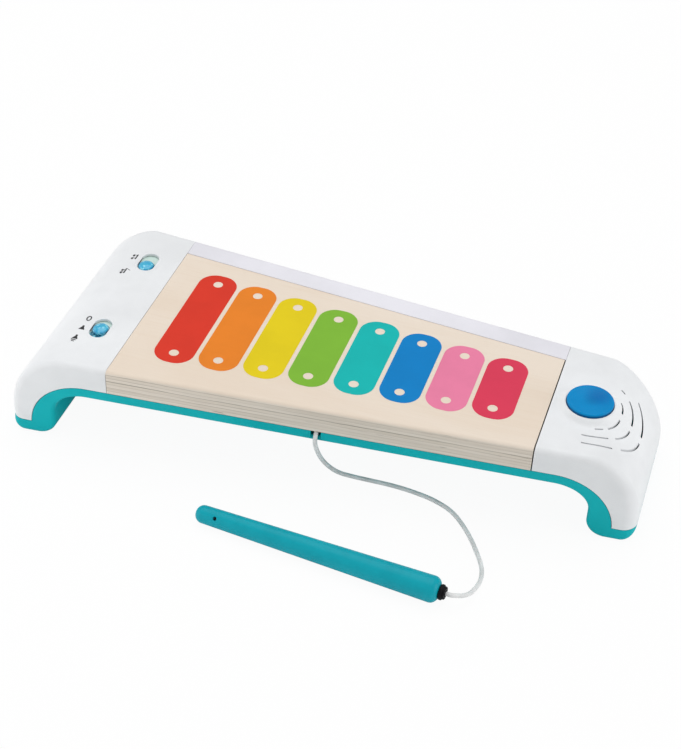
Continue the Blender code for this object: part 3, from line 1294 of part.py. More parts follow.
def stylus_axis():
    """Unit vector along the stylus, from its tip to its thick end."""
    yaw = math.radians(STYLUS_YAW_DEGREES)
    return Vector((math.cos(yaw) * math.cos(STYLUS_TILT), math.sin(yaw) * math.cos(STYLUS_TILT),
                   math.sin(STYLUS_TILT)))


def stylus_tip():
    """The middle of the stylus's tip, with the stylus lying on the floor."""
    return Vector((STYLUS_TIP_X, STYLUS_TIP_Y, STYLUS_TIP_Z))


def stylus_profile():
    """Down the outer side of the stylus, from its thick end to its tip."""
    return [(0, STYLUS_LENGTH), *rounded_edge(STYLUS_END_RADIUS, STYLUS_LENGTH, STYLUS_END_ROUND),
            *rounded_edge(STYLUS_TIP_RADIUS, 0, STYLUS_TIP_ROUND, 0, -90, 2 * EDGE_STEPS), (0, 0)]


def radial_cylinder(name, radius, inner, outer):
    """A cylinder across the stylus, between two distances from its axis."""
    bm = bmesh.new()
    add_cylinder(bm, 0, 0, inner, outer, radius)
    angle = math.radians(STYLUS_HOLE_TILT_DEGREES)
    direction = Vector((math.cos(angle), math.sin(angle), 0))
    turn = Vector((0, 0, 1)).rotation_difference(direction).to_matrix().to_4x4()
    place = Matrix.Translation((0, 0, STYLUS_HOLE_FROM_TIP)) @ turn
    bmesh.ops.transform(bm, matrix=place, verts=bm.verts)
    return mesh_from(bm, name)


def make_stylus():
    """The stylus with its contact pin, and the collar that takes the cord."""
    axis = stylus_axis()
    across = Vector((0, 0, 1)).cross(axis).normalized()
    upward = axis.cross(across)
    lying = Matrix((upward, -across, axis)).transposed()
    frame = bpy.data.objects.new("stylus_frame", None)
    PARTS.objects.link(frame)
    frame.parent = TOY_FRAME
    frame.location = stylus_tip()
    frame.rotation_euler = lying.to_euler()
    body = turned("stylus_body", stylus_profile(), "teal_paint", parent=frame)
    bore = bmesh.new()
    add_cylinder(bore, 0, 0, STYLUS_LENGTH - STYLUS_BORE_DEPTH, STYLUS_LENGTH + OVERRUN,
                 STYLUS_BORE_RADIUS, ROUND_STEPS)
    cut(body, add_object("stylus_bore", mesh_from(bore, "stylus_bore"), parent=frame))
    floor = STYLUS_TIP_RADIUS - STYLUS_HOLE_DEPTH
    hole = radial_cylinder("stylus_hole", STYLUS_HOLE_RADIUS, floor, STYLUS_TIP_RADIUS + OVERRUN)
    cut(body, add_object("stylus_hole", hole, parent=frame))
    low = floor + CLEARANCE
    pin = radial_cylinder("stylus_contact", STYLUS_HOLE_RADIUS - CLEARANCE, low,
                          low + STYLUS_PIN_LENGTH)
    add_object("stylus_contact", pin, "steel", frame)
    base = STYLUS_LENGTH + CLEARANCE
    top = base + COLLAR_RING_LENGTH
    neck = STYLUS_BORE_RADIUS - CLEARANCE
    ring = COLLAR_RING_RADIUS
    waist = ring - COLLAR_GROOVE
    profile = [(0, top), (ring - COLLAR_GROOVE, top), (ring, top - COLLAR_GROOVE),
               (ring, base + COLLAR_RING_LENGTH * GROOVE_SHARES[1]),
               (waist, base + COLLAR_RING_LENGTH * GROOVE_SHARES[1]),
               (waist, base + COLLAR_RING_LENGTH * GROOVE_SHARES[0]),
               (ring, base + COLLAR_RING_LENGTH * GROOVE_SHARES[0]), (ring, base), (neck, base),
               (neck, STYLUS_LENGTH - COLLAR_SPIGOT_LENGTH), (0, STYLUS_LENGTH - COLLAR_SPIGOT_LENGTH)]
    turned("stylus_collar", profile, "black_rubber", parent=frame)


def smooth_path(route, shares):
    """Points at shares of the length along a smooth curve through the route's points."""
    points = np.array(route)
    chords = np.linalg.norm(np.diff(points, axis=0), axis=1)
    knots = np.concatenate(([0], np.cumsum(np.sqrt(chords))))
    slopes = np.diff(points, axis=0) / np.diff(knots)[:, None]
    spans = np.diff(knots)[:, None]
    inner = (slopes[:-1] * spans[1:] + slopes[1:] * spans[:-1]) / (spans[:-1] + spans[1:])
    tangents = np.vstack((slopes[:1], inner, slopes[-1:]))
    steps = np.linspace(0, 1, 2 * SMALL_STEPS, endpoint=False)[:, None]
    pieces = []
    for index in range(len(points) - 1):
        span = spans[index]
        start, end = points[index], points[index + 1]
        pieces.append((1 + 2 * steps) * (1 - steps) ** 2 * start
                      + steps * (1 - steps) ** 2 * span * tangents[index]
                      + steps ** 2 * (3 - 2 * steps) * end
                      + steps ** 2 * (steps - 1) * span * tangents[index + 1])
    curve = np.vstack((*pieces, points[-1:]))
    travelled = np.concatenate(([0], np.cumsum(np.linalg.norm(np.diff(curve, axis=0), axis=1))))
    wanted = np.array(shares) * travelled[-1]
    columns = [np.interp(wanted, travelled, curve[:, column]) for column in range(3)]
    return [tuple(point) for point in np.column_stack(columns)]


def cord_points():
    """The cord's middle line from its clamp, over the lip and along the floor to the stylus."""
    clamp_y = front_y(CORD_X) + CLAMP_FROM_WALL
    start = (CORD_X, clamp_y - CLEARANCE, CORD_START_Z)
    lead = (CORD_X, clamp_y - CLEARANCE - CORD_RADIUS, CORD_START_Z)
    reach = STYLUS_LENGTH + 2 * CLEARANCE + COLLAR_RING_LENGTH
    end = stylus_tip() + stylus_axis() * reach
    before = stylus_tip() + stylus_axis() * (reach + CORD_COLLAR_LEAD)
    rise = (PARTING_Z - CORD_LIE_Z) / (CORD_DRAWN_PARTING_Z - CORD_LIE_Z)
    drawn = [(x, y, CORD_LIE_Z + (z - CORD_LIE_Z) * rise) for x, y, z in CORD_ROUTE]
    route = [start, lead, *drawn, tuple(before), tuple(end)]
    bend = np.linspace(0, CORD_BEND_SHARE, CORD_BEND_POINTS, endpoint=False)
    rest = np.linspace(CORD_BEND_SHARE, 1, CORD_LONG_POINTS)
    return smooth_path(route, [*bend, *rest])


def make_cord():
    """The cord and the block inside the bench that holds it."""
    bm = tube(cord_points(), CORD_RADIUS, 2)
    add_object("cord", mesh_from(bm, "cord"), "white_cord")
    clamp = bmesh.new()
    y = front_y(CORD_X) + CLAMP_FROM_WALL
    add_box(clamp, (CORD_X - CLAMP_LENGTH / 2, y, FLOOR_INSIDE_Z + CLEARANCE),
            (CORD_X + CLAMP_LENGTH / 2, y + CLAMP_WIDTH, PANEL_BOTTOM_Z - CLEARANCE))
    add_object("cord_clamp", mesh_from(clamp, "cord_clamp"), "black_plastic", smooth=False)


def row_y():
    """How far back the middle of the bars stands, so that the origin is under the whole toy."""
    axis = stylus_axis()
    level = math.sqrt(1 - axis.y * axis.y)
    front = min(STYLUS_TIP_Y + z * axis.y - radius * level for radius, z in stylus_profile())
    rear = rear_y(FOOT_CORNER_RADIUS - HALF_LENGTH)
    return -(front + rear) / 2


make_bottom()
for end_side in (-1, 1):
    make_end(end_side)
make_rear_strip()
make_panel()
make_bars()
make_sensor()
make_fasteners()
make_boards()
make_button()
make_speaker()
make_switch("mode_switch_knob", "mode_switch_can", MODE_SWITCH_Y, -SWITCH_TRAVEL / 2)
make_switch("power_switch_knob", "power_switch_can", POWER_SWITCH_Y, 0)
make_door()
make_batteries()
make_stylus()
make_cord()
TOY_FRAME.location = (0, row_y(), 0)
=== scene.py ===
"""Looks of the toy touch xylophone: plywood key panel, moulded bench, button, switches, stylus.

Everything is in metres. Shapes are worked out about the middle of the row of bars, as in the
part's source, and placed() moves them back by ROW_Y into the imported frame.
"""
import math

import bmesh
import bpy
import numpy as np
from mathutils import Matrix, Vector


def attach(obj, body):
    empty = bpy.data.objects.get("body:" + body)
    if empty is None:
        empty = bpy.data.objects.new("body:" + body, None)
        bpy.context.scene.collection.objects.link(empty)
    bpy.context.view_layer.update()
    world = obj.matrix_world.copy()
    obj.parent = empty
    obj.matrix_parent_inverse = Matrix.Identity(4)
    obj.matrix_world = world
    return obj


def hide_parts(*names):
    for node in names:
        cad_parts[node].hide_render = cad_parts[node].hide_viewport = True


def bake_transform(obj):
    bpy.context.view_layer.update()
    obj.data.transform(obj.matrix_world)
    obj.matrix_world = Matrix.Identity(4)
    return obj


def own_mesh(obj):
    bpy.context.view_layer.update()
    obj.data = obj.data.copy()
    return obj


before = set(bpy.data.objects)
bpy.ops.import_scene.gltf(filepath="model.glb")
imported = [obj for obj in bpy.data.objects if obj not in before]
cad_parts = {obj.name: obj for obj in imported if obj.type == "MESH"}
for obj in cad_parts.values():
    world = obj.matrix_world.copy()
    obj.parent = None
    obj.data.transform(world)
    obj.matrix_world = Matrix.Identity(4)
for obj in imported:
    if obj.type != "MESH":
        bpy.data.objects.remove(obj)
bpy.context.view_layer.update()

ROW_Y = 0.024679

# Bench
HALF_LENGTH = 0.2015
HEIGHT = 0.062
FRONT_Y = -0.0595
REAR_Y = 0.0703
PANEL_REAR_Y = 0.053
TAPER = 0.085
WALL = 0.0022
END_WALL = 0.0016
FACE_SHARES = (0, 0.34, 0.67)
PARTING_Z = 0.0446
PARTING_GAP = 0.0004
FOOT_SPLIT_Z = 0.0095
PARTING_BEND_X = 0.1485
PARTING_BEND_RUN = 0.0385
PARTING_BEND_BASE_Z = 0.008
END_RUN = 0.037
END_DROP = 0.0487
END_START_X = HALF_LENGTH - END_RUN
END_BASE_Z = HEIGHT - END_DROP
TOP_LEVEL_SHARE = 0.2
TOP_CURVE_SHARE = 0.77
TOP_EDGE_RADIUS = 0.0042
FRONT_END_RADIUS = 0.0052
REAR_END_RADIUS = 0.012
FOOT_CORNER_RADIUS = 0.009
BELLY_Z = 0.0372
BELLY_EDGE_RADIUS = 0.0017
ARCH_START_X = 0.148
ARCH_RUN = 0.023
ARCH_SPRING_Z = 0.020
ARCH_SHARE = 0.62
HEEL_FIRST_STEP = 0.2
FOOT_INNER_RADIUS = 0.0125
FOOT_OUTER_RADIUS = 0.009
LEG_EDGE_RADIUS = 0.0026
SEAM_X = 0.1343
PANEL_HALF_LENGTH = 0.1338
PANEL_BOTTOM_Z = 0.0447
PLY_COUNT = 7

# Bars
BAR_WIDTH = 0.0262
BAR_PITCH = 0.029
LONGEST_BAR = 0.096
SHORTEST_BAR = 0.060
BAR_CORNER_RADIUS = 0.0115
DOT_RADIUS = 0.0032
DOT_FROM_END = 0.0097
PRINT_LOW = 0.06200
PRINT_HIGH = 0.06213
PRINT_EASE = 0.00005
BAR_COLOURS = {
    "red": (216, 56, 38), "orange": (230, 130, 38), "yellow": (225, 202, 22),
    "green": (126, 182, 56), "teal": (14, 181, 177), "blue": (0, 126, 196),
    "pink": (231, 128, 163), "crimson": (217, 60, 88),
}
BAR_COUNT = len(BAR_COLOURS)

# Button, collar and slots
BUTTON = (0.1574, 0.0022)
BUTTON_RADIUS = 0.0147
BUTTON_GAP = 0.0004
BUTTON_TOP = 0.0675
BUTTON_DISH = 0.0007
BUTTON_EDGE_RADIUS = 0.0012
BUTTON_WALL = 0.0018
# Where the painted dark reflection in the button's dish is centred, from the button's middle
BUTTON_REFLECTION_X = 0.0045
BUTTON_REFLECTION_Y = 0.0055
BUTTON_FLANGE_RADIUS = 0.0163
BUTTON_FLANGE_TOP = 0.0570
BUTTON_FLANGE_LOW = 0.0558
BUTTON_STEM_RADIUS = 0.0030
BUTTON_STEM_LOW = 0.0531
DOME_RADIUS = 0.0048
DOME_HEIGHT = 0.0022
DOME_LOW = 0.0506
COLLAR_ABOVE = 0.0032
COLLAR_TOP_RADIUS = 0.0160
COLLAR_SLOPE = 0.92
COLLAR_BLEND = 0.0016
COLLAR_REACH = 0.026
SLOT_WIDTH = 0.0010
SLOT_RING_FIRST = 0.0203
SLOT_RING_STEP = 0.0070
SLOT_SQUARENESS = 2.35
SLOT_STEP_DEGREES = 1.5
SLOT_SPANS_DEGREES = (
    ((-70, -56), (-47, -14), (2, 34)),
    ((-89, -55), (-45, -11), (0, 40), (50, 57)),
    ((-87, -56), (-46, -9), (1, 41)),
)

# Wells and screws
BOTTOM_WALL = 0.0016
WELL_RADIUS = 0.0043
WELL_BORE_RADIUS = 0.0033
WELL_LEDGE_DEPTH = 0.0038
WELL_WALL = 0.0022
FOOT_WELL_DEPTH = 0.0080
SCREW_RADIUS = 0.0013
SCREW_HOLE_RADIUS = 0.0017
SCREW_HEAD_RADIUS = 0.0028
SCREW_HEAD = 0.0018
SCREW_LENGTH = 0.0120
SCREW_EASE_SHARE = 0.55
CROSS_ARM_SHARE = 0.6
CROSS_WIDTH_SHARE = 0.11
CROSS_FLOOR_SHARE = 0.4
BOSS_X = 0.1395
BOSS_FROM_EDGE = 0.0120
FOOT_BOSS_X = 0.1880
FOOT_BOSS_FROM_EDGE = 0.0180
PANEL_SCREW_X = 0.1097
PANEL_SCREW_FROM_EDGE = 0.0068

# Battery bay, door and cells
BATTERY_Y = 0.0050
BATTERY_RADIUS = 0.00525
BATTERY_LENGTH = 0.0435
BATTERY_PITCH = 0.0113
BATTERY_AXIS_Z = 0.04495
BATTERY_TIP_X = 0.02465
BATTERY_TIP = 0.0010
BATTERY_TIP_RADIUS = 0.0018
BATTERY_TIP_EASE = 0.0003
BATTERY_EASE = 0.0005
BATTERY_BAND_X = 0.0135
BAY_HALF_LENGTH = 0.02575
BAY_HALF_WIDTH = 0.01715
BAY_WALL = 0.0016
BAY_ROOF_Z = 0.0505
DOOR_HALF_LENGTH = 0.02975
DOOR_HALF_WIDTH = 0.02115
DOOR_THICKNESS = 0.0022
DOOR_EASE = 0.0003
DOOR_CORNER_RADIUS = 0.0030
DOOR_TAB_RADIUS = 0.0060
DOOR_PAD_EDGE = 0.0020
DOOR_PAD_LEDGE = 0.0016
DOOR_SCREW = (0.03175, BATTERY_Y)
DOOR_SCREW_HEAD_RADIUS = 0.0026
DOOR_SCREW_HEAD = 0.0012
DOOR_SCREW_LENGTH = 0.0080
DOOR_BOSS_TOP_Z = 0.0474

# Speaker's seat
SPEAKER = (0.1525, -0.0200)
SPEAKER_SEAT_RADIUS = 0.0162
SPEAKER_SEAT_WALL = 0.0016
SPEAKER_SEAT_Z = 0.0450

# Panel and strip
PANEL_LEFT = -0.1340
PANEL_RIGHT = 0.1335
PANEL_EDGE_RADIUS = 0.0026
PANEL_REAR_RADIUS = 0.0004
PANEL_RIM = 0.0110
POCKET_CORNER_RADIUS = 0.0060
SKIN_Z = 0.0580
SENSOR_SCREW_X = 0.1125940
SENSOR_SCREW_FROM_EDGE = 0.0175
SENSOR_SCREW_RADIUS = 0.0013
SENSOR_SCREW_DEPTH = 0.0027
SEAM_GAP = 0.00025
STRIP_HALF_LENGTH = 0.13415
STRIP_WALL = 0.0022
STRIP_SHARES = (0, 0.35, 0.7)

# Switches
SWITCH_X = -0.155
SWITCH_Y = {"mode_switch": 0.0455, "power_switch": -0.0315}
SWITCH_TRAVEL = 0.0075
SWITCH_SLOT_LENGTH = 0.0195
SWITCH_SLOT_WIDTH = 0.0115
SWITCH_SLOT_SQUARE = 0.98
KNOB_LENGTH = 0.0115
KNOB_WIDTH = 0.0104
KNOB_TOP = 0.0634
KNOB_SHOULDER = 0.0612
SLIDER_TOP = 0.0600
# The skirt: a thin sheet under the knob, reaching ahead of it, in the clear blue's darkest painted shade
SKIRT_TOP = 0.0602
SKIRT_LENGTH = 0.0170
SKIRT_SHIFT = -0.0020
SLIDER_LOW = 0.0584
SLIDER_WIDTH = 0.0155
SLIDER_LENGTH = 0.0300
PEG_LENGTH = 0.0030
PEG_WIDTH = 0.0020
PEG_DEPTH = 0.0025
PEG_OVERLAP = 0.0005
LIP_WIDTH = 0.0020
LIP_RISE = 0.00026
LIP_SINK = 0.0002
LIP_DEPTH = 0.0010

# Signs beside the switches
SIGN_X = -0.1661
SIGN_HEIGHT = 0.00005
OFF_SIGN_Y = -0.0248
OFF_SIGN_RADII = ((0.0017, 0.0026), (0.0009, 0.0018))
SPEAKER_SIGN_YS = (-0.0326, -0.0428)
SPEAKER_OUTLINE = ((-0.0007, 0.0), (-0.0007, -0.0014), (-0.0020, -0.0042),
                   (0.0020, -0.0042), (0.0007, -0.0014), (0.0007, 0.0))
# Waves: start x, end x, y and width. Notes: x, y, reach, spread and the beam's length
LOUD_WAVES = ((-0.0019, 0.0013, -0.0052, 0.0007), (-0.0012, 0.0008, -0.0066, 0.0006))
NOTE_HEAD = (0.00075, 0.00105)
NOTE_STEM_SIDE = 0.0008
NOTE_STEM = 0.0004
NOTE_BEAM = 0.0009
NOTE_SIGNS = ((-0.0009, 0.0459, 0.0023, 0.0034, 0.0052), (-0.0015, 0.0285, 0.0020, 0.0028, 0.0055))
NOTE_FLAG = ((0.0008, 0.0339), (0.0034, 0.0326))

# Stylus
STYLUS_TIP = (-0.0572, -0.1131)
STYLUS_YAW = math.radians(-5.5)
STYLUS_LENGTH = 0.1596
STYLUS_TIP_RADIUS = 0.0057
STYLUS_END_RADIUS = 0.0082
STYLUS_TIP_ROUND = 0.005
STYLUS_END_ROUND = 0.005
STYLUS_HOLE_FROM_TIP = 0.0145
STYLUS_HOLE_RADIUS = 0.0013
STYLUS_HOLE_DEPTH = 0.0080
STYLUS_HOLE_TILT = math.radians(48)
STYLUS_BORE_RADIUS = 0.0030
STYLUS_BORE_DEPTH = 0.0090
COLLAR_SPIGOT_LENGTH = 0.0080
COLLAR_RING_RADIUS = 0.0048
COLLAR_RING_LENGTH = 0.0036
COLLAR_NOSE_RADIUS = 0.0040
COLLAR_EASE = 0.0006
COLLAR_WAIST_SHARE = 0.58

# Cord, and the notch that it leaves by
CORD_RADIUS = 0.0014
CORD_X = 0.0007
CLAMP_DEPTH = 0.0050
CLAMP_Z = 0.0430
COLLAR_LEAD = 0.0030
CORD_ROUTE = (
    (0.0007, -0.0580, 0.0426), (0.0009, -0.0602, 0.0412), (0.0011, -0.0615, 0.0392),
    (0.0014, -0.0620, 0.0366), (0.0026, -0.0607, 0.0300), (0.0048, -0.0575, 0.0210),
    (0.0084, -0.0530, 0.0120), (0.0136, -0.0488, 0.0050), (0.0210, -0.0462, 0.0019),
    (0.0330, -0.0455, 0.0015), (0.0490, -0.0452, 0.0015), (0.0635, -0.0464, 0.0015),
    (0.0775, -0.0494, 0.0015), (0.0900, -0.0554, 0.0015), (0.1022, -0.0677, 0.0015),
    (0.1124, -0.0825, 0.0015), (0.1193, -0.0957, 0.0015), (0.1210, -0.1050, 0.0017),
    (0.1199, -0.1140, 0.0028), (0.1165, -0.1230, 0.0052),
)
NOTCH_WIDTH = 0.0065
NOTCH_DEPTH = 0.0036
NOTCH_LIP_DROP = 0.0022

# Gaps between parts, and how far and from where a cutting solid reaches
CLEARANCE = 0.0003
REACH = 0.004
HOLE_LOW_Z = 0.040
HOLE_HIGH_Z = HEIGHT + 0.010

# Studio
FLOOR_REACH = 15.0
FLOOR_Z = -0.0002
FLOOR_GLOW = 0.94
WORLD_LIGHT = 0.55
WORLD_SEEN = 1.0
LAMPS = {
    # place, aim, side and power
    "overhead": ((-0.1, 0.45, 1.5), (0, 0, 0), 1.5, 10.5),
    "front_fill": ((-0.62, -0.50, 0.20), (-0.10, 0, 0.03), 0.4, 1.15),
    "left_fill": ((-1.5, 0.3, 0.9), (0, 0, 0.03), 1.2, 3.0),
    "right_fill": ((1.5, -0.1, 0.45), (0, 0, 0.03), 1.0, 6.0),
}


# Camera

def aim_camera():
    """The camera fitted to the photograph: its place, its turn and its lens."""
    across = Vector((0.9499, 0.3107, 0.0328))
    down = Vector((0.2230, -0.6006, -0.7678))
    ahead = Vector((-0.2189, 0.7367, -0.6398))
    place = (0.2286, -0.7780 + ROW_Y, 0.7186)
    data = bpy.data.cameras.new("photo_camera")
    data.lens = 78.93
    data.sensor_width = 36.0
    data.clip_start = 0.05
    data.clip_end = 20.0
    camera = loose("photo_camera", data)
    turn = Matrix((across, -down, -ahead)).transposed().to_quaternion().to_matrix()
    camera.matrix_world = Matrix.Translation(place) @ turn.to_4x4()
    bpy.context.scene.camera = camera


# Meshes and pieces

def placed(points):
    """Points about the middle of the bars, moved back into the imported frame."""
    return np.asarray(points, float).reshape(-1, 3) + (0, ROW_Y, 0)


def grid_faces(rows, columns, around=False, flip=False):
    """Quads of a grid of points stored row by row; around joins the last column to the first."""
    index = np.arange(rows * columns).reshape(rows, columns)
    following = np.roll(index, -1, axis=1) if around else index[:, 1:]
    own = index if around else index[:, :-1]
    faces = np.stack((own[:-1], own[1:], following[1:], following[:-1]), axis=-1).reshape(-1, 4)
    return faces[:, ::-1] if flip else faces


def joined(parts):
    """Several (points, faces) as one."""
    points, faces, start = [], [], 0
    for part_points, part_faces in parts:
        points.append(np.asarray(part_points, float).reshape(-1, 3))
        faces += [[corner + start for corner in face] for face in part_faces]
        start += len(points[-1])
    return np.vstack(points), faces


def make_mesh(name, points, faces, outward=True):
    """A mesh with its doubles merged, and its faces turned outward where it is closed."""
    mesh = bpy.data.meshes.new(name)
    mesh.from_pydata(placed(points).tolist(), [], [list(face) for face in faces])
    bm = bmesh.new()
    bm.from_mesh(mesh)
    bmesh.ops.remove_doubles(bm, verts=bm.verts, dist=1e-6)
    if outward:
        bmesh.ops.recalc_face_normals(bm, faces=bm.faces)
    bm.to_mesh(mesh)
    bm.free()
    return mesh


def loose(name, data):
    """An object for a mesh or lamp, linked into the scene."""
    item = bpy.data.objects.new(name, data)
    bpy.context.scene.collection.objects.link(item)
    return item


def make_piece(name, mesh, body, finish, node=None, smooth=40):
    """A piece of the toy, riding on its body if it has only one, and standing for a CAD node.

    Edges sharper than smooth degrees stay sharp.
    """
    piece = loose(name, mesh)
    mesh.materials.clear()
    mesh.materials.append(finish)
    mesh.shade_smooth()
    mesh.set_sharp_from_angle(angle=math.radians(smooth))
    if body:
        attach(piece, body)
    if node:
        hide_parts(node)
    return piece


def modified(name, mesh, modifiers):
    """A mesh after its modifiers, each a pair of a kind and its settings."""
    item = loose(name, mesh)
    for kind, settings in modifiers:
        modifier = item.modifiers.new(kind.lower(), kind)
        for key, value in settings.items():
            setattr(modifier, key, value)
    depsgraph = bpy.context.evaluated_depsgraph_get()
    result = bpy.data.meshes.new_from_object(item.evaluated_get(depsgraph))
    bpy.data.objects.remove(item, do_unlink=True)
    bpy.data.meshes.remove(mesh)
    return result


def walled(name, mesh, thickness):
    """A skin given its wall on the inner side."""
    settings = {"thickness": thickness, "offset": -1, "use_even_offset": True,
                "use_quality_normals": True}
    return modified(name, mesh, [("SOLIDIFY", settings)])


def carved(name, mesh, add=(), cut=()):
    """A mesh after its Booleans, one for each list of solids in add, and then for each in cut."""
    steps = [("UNION", solids) for solids in add] + [("DIFFERENCE", solids) for solids in cut]
    tools = [loose(name + "_tool", make_mesh(name + "_tool", *joined(solids))) for _, solids in steps]
    result = modified(name, mesh, [("BOOLEAN", {"operation": operation, "solver": "EXACT", "object": tool})
                                   for (operation, _), tool in zip(steps, tools)])
    for tool in tools:
        bpy.data.objects.remove(tool, do_unlink=True)
    return result


# Surfaces

def turned(profile, steps):
    """Points and faces of a profile (radius, height) turned about Z: x, y = radius at the angle."""
    profile = np.asarray(profile, float)
    angles = np.linspace(0, 2 * np.pi, steps, endpoint=False)
    radius = profile[:, :1]
    points = np.stack((radius * np.cos(angles), radius * np.sin(angles),
                       np.repeat(profile[:, 1:], steps, axis=1)), axis=-1)
    return points, grid_faces(len(profile), steps, around=True, flip=True)


def moved(part, offset):
    """A part moved by an offset."""
    points, faces = part
    return np.asarray(points, float).reshape(-1, 3) + offset, faces


def corner_arc(centre, radius, start, end, steps):
    """Points of a profile on an arc: centre + radius at angles from start to end, in degrees."""
    angles = np.radians(np.linspace(start, end, steps + 1))
    return np.column_stack((centre[0] + radius * np.cos(angles), centre[1] + radius * np.sin(angles)))


def rectangle(x, y, half_x, half_y):
    """The corners of a rectangle, anticlockwise, about its middle."""
    return [(x - half_x, y - half_y), (x + half_x, y - half_y), (x + half_x, y + half_y),
            (x - half_x, y + half_y)]


def ellipse(x, y, half_x, half_y, steps):
    """The outline x + half_x cos a, y + half_y sin a."""
    angles = np.linspace(0, 2 * np.pi, steps, endpoint=False)
    return np.column_stack((x + half_x * np.cos(angles), y + half_y * np.sin(angles)))


def rounded_outline(corners, radius, steps):
    """A convex outline, anticlockwise, whose corners are arcs tangent to both sides."""
    corners = np.asarray(corners, float)
    outline = []
    for index, corner in enumerate(corners):
        before = corners[index - 1] - corner
        after = corners[(index + 1) % len(corners)] - corner
        before /= np.linalg.norm(before)
        after /= np.linalg.norm(after)
        half = math.acos(np.clip(before @ after, -1, 1)) / 2
        centre = corner + (before + after) / np.linalg.norm(before + after) * radius / math.sin(half)
        start = math.atan2(before[0], -before[1])
        angles = start + np.linspace(0, math.pi - 2 * half, steps + 1)
        outline.append(centre + radius * np.column_stack((np.cos(angles), np.sin(angles))))
    return np.vstack(outline)


def raised(outline, levels):
    """Rings of a flat outline, one for each (inset, height) of the levels.

    A point moves in along the outline's own normal by the inset, and up to the height.
    """
    outline = np.asarray(outline, float)
    ahead = np.roll(outline, -1, axis=0) - np.roll(outline, 1, axis=0)
    ahead /= np.linalg.norm(ahead, axis=1)[:, None]
    inward = np.column_stack((-ahead[:, 1], ahead[:, 0]))
    return np.stack([np.column_stack((outline + inward * inset, np.full(len(outline), height)))
                     for inset, height in levels])


def capped(rings):
    """A closed solid: rings of points joined in turn, with a face over the first and the last."""
    rings = np.asarray(rings, float)
    rows, count = rings.shape[:2]
    last = (rows - 1) * count
    faces = grid_faces(rows, count, around=True).tolist()
    return rings.reshape(-1, 3), faces + [list(range(count)), list(range(last, last + count))[::-1]]


def hoop(rings):
    """A closed ring: rings of points joined in turn, and the last to the first."""
    rings = np.concatenate((rings, rings[:1]))
    return rings.reshape(-1, 3), grid_faces(*rings.shape[:2], around=True)


def upright(outline, levels):
    """A closed solid whose outline is carried up through its (inset, height) levels."""
    return capped(raised(outline, levels))


def prism(outline, low, high):
    """A closed solid of an outline, with straight upright sides from low to high."""
    return upright(outline, ((0, low), (0, high)))


def disc(x, y, radius, low, high, steps=48):
    """An upright cylinder."""
    return prism(ellipse(x, y, radius, radius, steps), low, high)


def block(x, y, half_x, half_y, low, high):
    """An upright box."""
    return prism(rectangle(x, y, half_x, half_y), low, high)


# Bench sections

def front_y(x):
    """The bench's front edge, nearer the middle towards the right."""
    return FRONT_Y + TAPER * x


def rear_y(x):
    """The bench's rear edge."""
    return REAR_Y - TAPER * x


def panel_rear_y(x):
    """The panel's rear edge."""
    return PANEL_REAR_Y - TAPER * x


def parting_points(share, shift):
    """The parting line over a leg: a quarter ellipse from the level line, share 0, to the foot, 1."""
    rise = PARTING_Z - PARTING_BEND_BASE_Z + shift
    run = PARTING_BEND_RUN + shift
    foot = math.asin((FOOT_SPLIT_Z + shift - PARTING_BEND_BASE_Z) / rise)
    angle = math.pi / 2 + (foot - math.pi / 2) * np.asarray(share, float)
    return PARTING_BEND_X + run * np.cos(angle), PARTING_BEND_BASE_Z + rise * np.sin(angle)


def level_stations(x, z, up):
    """Stations (x, z, normal x, normal z) on a level line."""
    return np.column_stack((x, np.full_like(x, z), 0 * x, 0 * x + up))


def curved_stations(centre, run, rise, start, end, steps, outward=1):
    """Stations (x, z, normal x, normal z) on an ellipse: centre + (run cos a, rise sin a)."""
    angle = np.radians(np.linspace(start, end, steps + 1))
    normal = np.column_stack((np.cos(angle) / run, np.sin(angle) / rise)) * outward
    normal /= np.linalg.norm(normal, axis=1)[:, None]
    return np.column_stack((centre[0] + run * np.cos(angle), centre[1] + rise * np.sin(angle), normal))


def sections(stations, partners, radii, side, across):
    """Rows of points across the bench, one row at each station.

    A row goes from the parting line up the flat front face, round a quarter circle of the
    station's radius, across to the same at the rear and down to the parting line there. The
    circle at angle a lies (1 - sin a) radii along the station's normal and (1 - cos a) inward.
    partners are the points (x, z) of the parting line, and radii has a row of radii for the front
    edge and a row for the rear edge.
    """
    x, z, normal_x, normal_z = (stations[:, column, None] for column in range(4))
    angle = np.linspace(0, np.pi / 2, 11)[None, :]
    face = np.array(FACE_SHARES)[None, :]
    halves = []
    for radius in np.asarray(radii, float)[:, :, None]:
        edge_x = x - radius * (1 - np.sin(angle)) * normal_x
        edge_z = z - radius * (1 - np.sin(angle)) * normal_z
        face_x = partners[:, :1] + (edge_x[:, :1] - partners[:, :1]) * face
        face_z = partners[:, 1:] + (edge_z[:, :1] - partners[:, 1:]) * face
        inset = np.hstack((np.zeros_like(face_x), radius * (1 - np.cos(angle))))
        halves.append((np.hstack((face_x, edge_x)) * side, np.hstack((face_z, edge_z)), inset))
    (front_x, front_z, front_in), (rear_x, rear_z, rear_in) = halves
    front = np.stack((front_x, front_y(front_x) + front_in, front_z), axis=-1)
    rear = np.stack((rear_x, rear_y(rear_x) - rear_in, rear_z), axis=-1)[:, ::-1]
    share = np.linspace(0, 1, across + 1)[1:-1][None, :, None]
    middle = front[:, -1:] + (rear[:, :1] - front[:, -1:]) * share
    return np.concatenate((front, middle, rear), axis=1)


